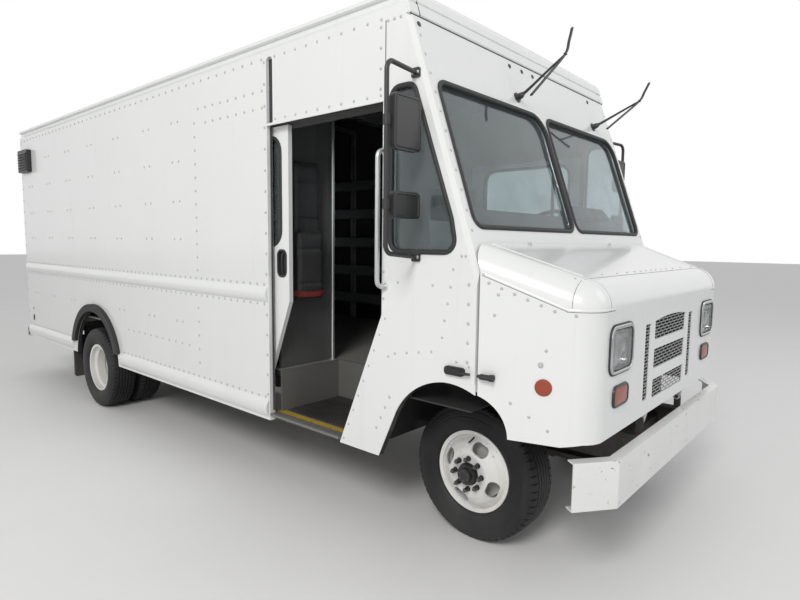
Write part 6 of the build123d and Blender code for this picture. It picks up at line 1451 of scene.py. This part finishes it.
# underbody: spring bolts, dampers, tank straps and the muffler's seams
underLook = {
    # springs: x, axle y, low end of the bolts, half of their spread
    "springs": [(0.325, 0.0, 0.3, 0.052), (0.399, wheelBase, 0.29, 0.068)],
    "rod": 0.0075, "packTop": 0.452, "boltHalf": 0.039,
    # dampers: lower eye, upper eye
    "dampers": [((0.43, 0.088, 0.372), (0.425, 0.11, 0.56)), ((0.5, 4.085, 0.34), (0.47, 4.33, 0.6))],
    # along the damper: from, to, radius, sides
    "damperTubes": [(0.08, 0.55, 0.026, 16), (0.5, 0.93, 0.031, 16), (0.0, 1.0, 0.009, 10)],
    "strapY": (2.16, 2.64), "mufflerSeamY": (1.71, 2.39),
}
underParts, darkParts = [], []
top, boltHalf = underLook["packTop"], underLook["boltHalf"]
for springX, middleY, low, wide in underLook["springs"]:
    for x in (springX - boltHalf, springX + boltHalf):
        bridge = [(-1.0, low), (-1.0, top), (-0.6, top + 0.012), (0.6, top + 0.012), (1.0, top), (1.0, low)]
        path = [(x, middleY + wide * share, z) for share, z in bridge]
        underParts.append(tubePart(path, underLook["rod"], 8, 1.0, xAxis))
    underParts.append(boxPart((springX - 0.052, middleY - wide - 0.014, low + 0.008),
            (springX + 0.052, middleY + wide + 0.014, low + 0.018), 0.008))
    nuts = [(springX + dx, middleY + dy, low + 0.008) for dx in (-boltHalf, boltHalf) for dy in (-wide, wide)]
    underParts.append(stamped(bolt, nuts, -zAxis, 0.0105))
for low, high in np.array(underLook["dampers"]):
    for start, end, radius, around in underLook["damperTubes"]:
        darkParts.append(tubePart(low + (high - low) * np.array([[start], [end]]), radius, around))
    darkParts += [tubePart(np.array([eye - xAxis * inward, eye + xAxis * 0.022]), 0.015, 12)
        for eye, inward in ((low, 0.045), (high, 0.04))]
makePiece("spring_bolts", both(underParts), "castIron")
makePiece("dampers", both(darkParts), "chassisBlack")
strapSection = [(-0.001, -0.025), (0.003, -0.025), (0.003, 0.025), (-0.001, 0.025)]
straps = [edgeStrip(plateLoop(0.4605, 0.3305, 0.07, (0.69, y, 0.465), xAxis, zAxis), yAxis, strapSection)
    for y in underLook["strapY"]]
seamSection = [(-0.001, -0.006), (0.0035, -0.004), (0.0035, 0.004), (-0.001, 0.006)]
seams = [edgeStrip(onPlane(ellipse(0.13, 0.08, 48), (-0.57, y, 0.49), xAxis, zAxis), yAxis, seamSection)
    for y in underLook["mufflerSeamY"]]
makePiece("tank_straps", straps, "castIron")
makePiece("muffler_seams", seams, "exhaustSteel")
print("underbody fitted")

# camera, floor and light
cameraTable = {"place": (-3.2312, -4.272, 1.5839), "yaw": 0.8514, "pitch": -0.1015, "roll": 0.0113,
    "focalPixels": 566.53, "imageWidth": 800.0}
worldStrength = 0.5
lightTable = {
    # place, target, size, power, colour
    "key_light": ((-8.5, -5.5, 7.0), (0.0, -0.5, 1.2), 3.5, 520.0, (1.0, 0.985, 0.96)),
    "fill_light": ((5.0, -9.0, 6.0), (0.0, -1.5, 1.0), 6.0, 110.0, (0.95, 0.97, 1.0)),
}


def makeCamera(table):
    # the photo's camera: yaw from +Y towards +X, pitch upwards, roll round its own axis
    data = bpy.data.cameras.new("photo_camera")
    data.sensor_width = 36.0
    data.lens = table["focalPixels"] / table["imageWidth"] * data.sensor_width
    data.clip_end = 200.0
    camera = bpy.data.objects.new("photo_camera", data)
    bpy.context.scene.collection.objects.link(camera)
    yaw, pitch, roll = table["yaw"], table["pitch"], table["roll"]
    forward = np.array([math.sin(yaw) * math.cos(pitch), math.cos(yaw) * math.cos(pitch), math.sin(pitch)])
    right = np.array([math.cos(yaw), -math.sin(yaw), 0.0])
    upward = np.cross(right, forward)
    rolledRight = math.cos(roll) * right + math.sin(roll) * upward
    rolledUp = -math.sin(roll) * right + math.cos(roll) * upward
    turned = Matrix(np.column_stack([rolledRight, rolledUp, -forward]).tolist()).to_4x4()
    camera.matrix_world = Matrix.Translation(table["place"]) @ turned
    bpy.context.scene.camera = camera


def makeFloor():
    # a wide pale sheet with a faint change of tone
    material, tree, shader = newMaterial("studioFloor")
    tree.links.new(mixColour(noiseOf(placeOf(tree), 2.5, 5.0), (0.84, 0.84, 0.84, 1), (0.87, 0.87, 0.865, 1)),
        shader.inputs["Base Color"])
    setInputs(shader, {"Roughness": 0.7})
    mesh = bpy.data.meshes.new("studio_floor")
    reach = 60.0
    mesh.from_pydata([(-reach, -reach, 0), (reach, -reach, 0), (reach, reach, 0), (-reach, reach, 0)], [],
        [(0, 1, 2, 3)])
    mesh.materials.append(material)
    floor = bpy.data.objects.new("studio_floor", mesh)
    bpy.context.scene.collection.objects.link(floor)


def makeLight(name, place, target, size, power, colour):
    # a round soft light that faces its target
    data = bpy.data.lights.new(name, "AREA")
    data.shape = "DISK"
    data.size = size
    data.energy = power
    data.color = colour
    light = bpy.data.objects.new(name, data)
    bpy.context.scene.collection.objects.link(light)
    forward = unit(np.asarray(target, float) - place)
    right = unit(np.cross(forward, zAxis))
    turned = Matrix(np.column_stack([right, np.cross(right, forward), -forward]).tolist()).to_4x4()
    light.matrix_world = Matrix.Translation(place) @ turned


def makeWorld(strength):
    # white all round: at full level where it is seen or mirrored, at the given strength as a light
    world = bpy.data.worlds.new("studio")
    bpy.context.scene.world = world
    world.use_nodes = True
    tree = world.node_tree
    background = tree.nodes["Background"]
    seen = addNode(tree, "ShaderNodeLightPath")
    direct = largest(seen.outputs["Is Camera Ray"], seen.outputs["Is Transmission Ray"])
    direct = largest(direct, seen.outputs["Is Glossy Ray"])
    steps = [("Value", direct), ("To Min", strength), ("To Max", 1.0)]
    level = addNode(tree, "ShaderNodeMapRange", steps).outputs[0]
    setInputs(background, {"Color": (1.0, 1.0, 1.0, 1.0)})
    tree.links.new(level, background.inputs["Strength"])


makeCamera(cameraTable)
makeFloor()
makeWorld(worldStrength)
for name, row in lightTable.items():
    makeLight(name, *row)
bpy.context.scene.view_settings.view_transform = "Standard"
print("camera, floor and lights made")
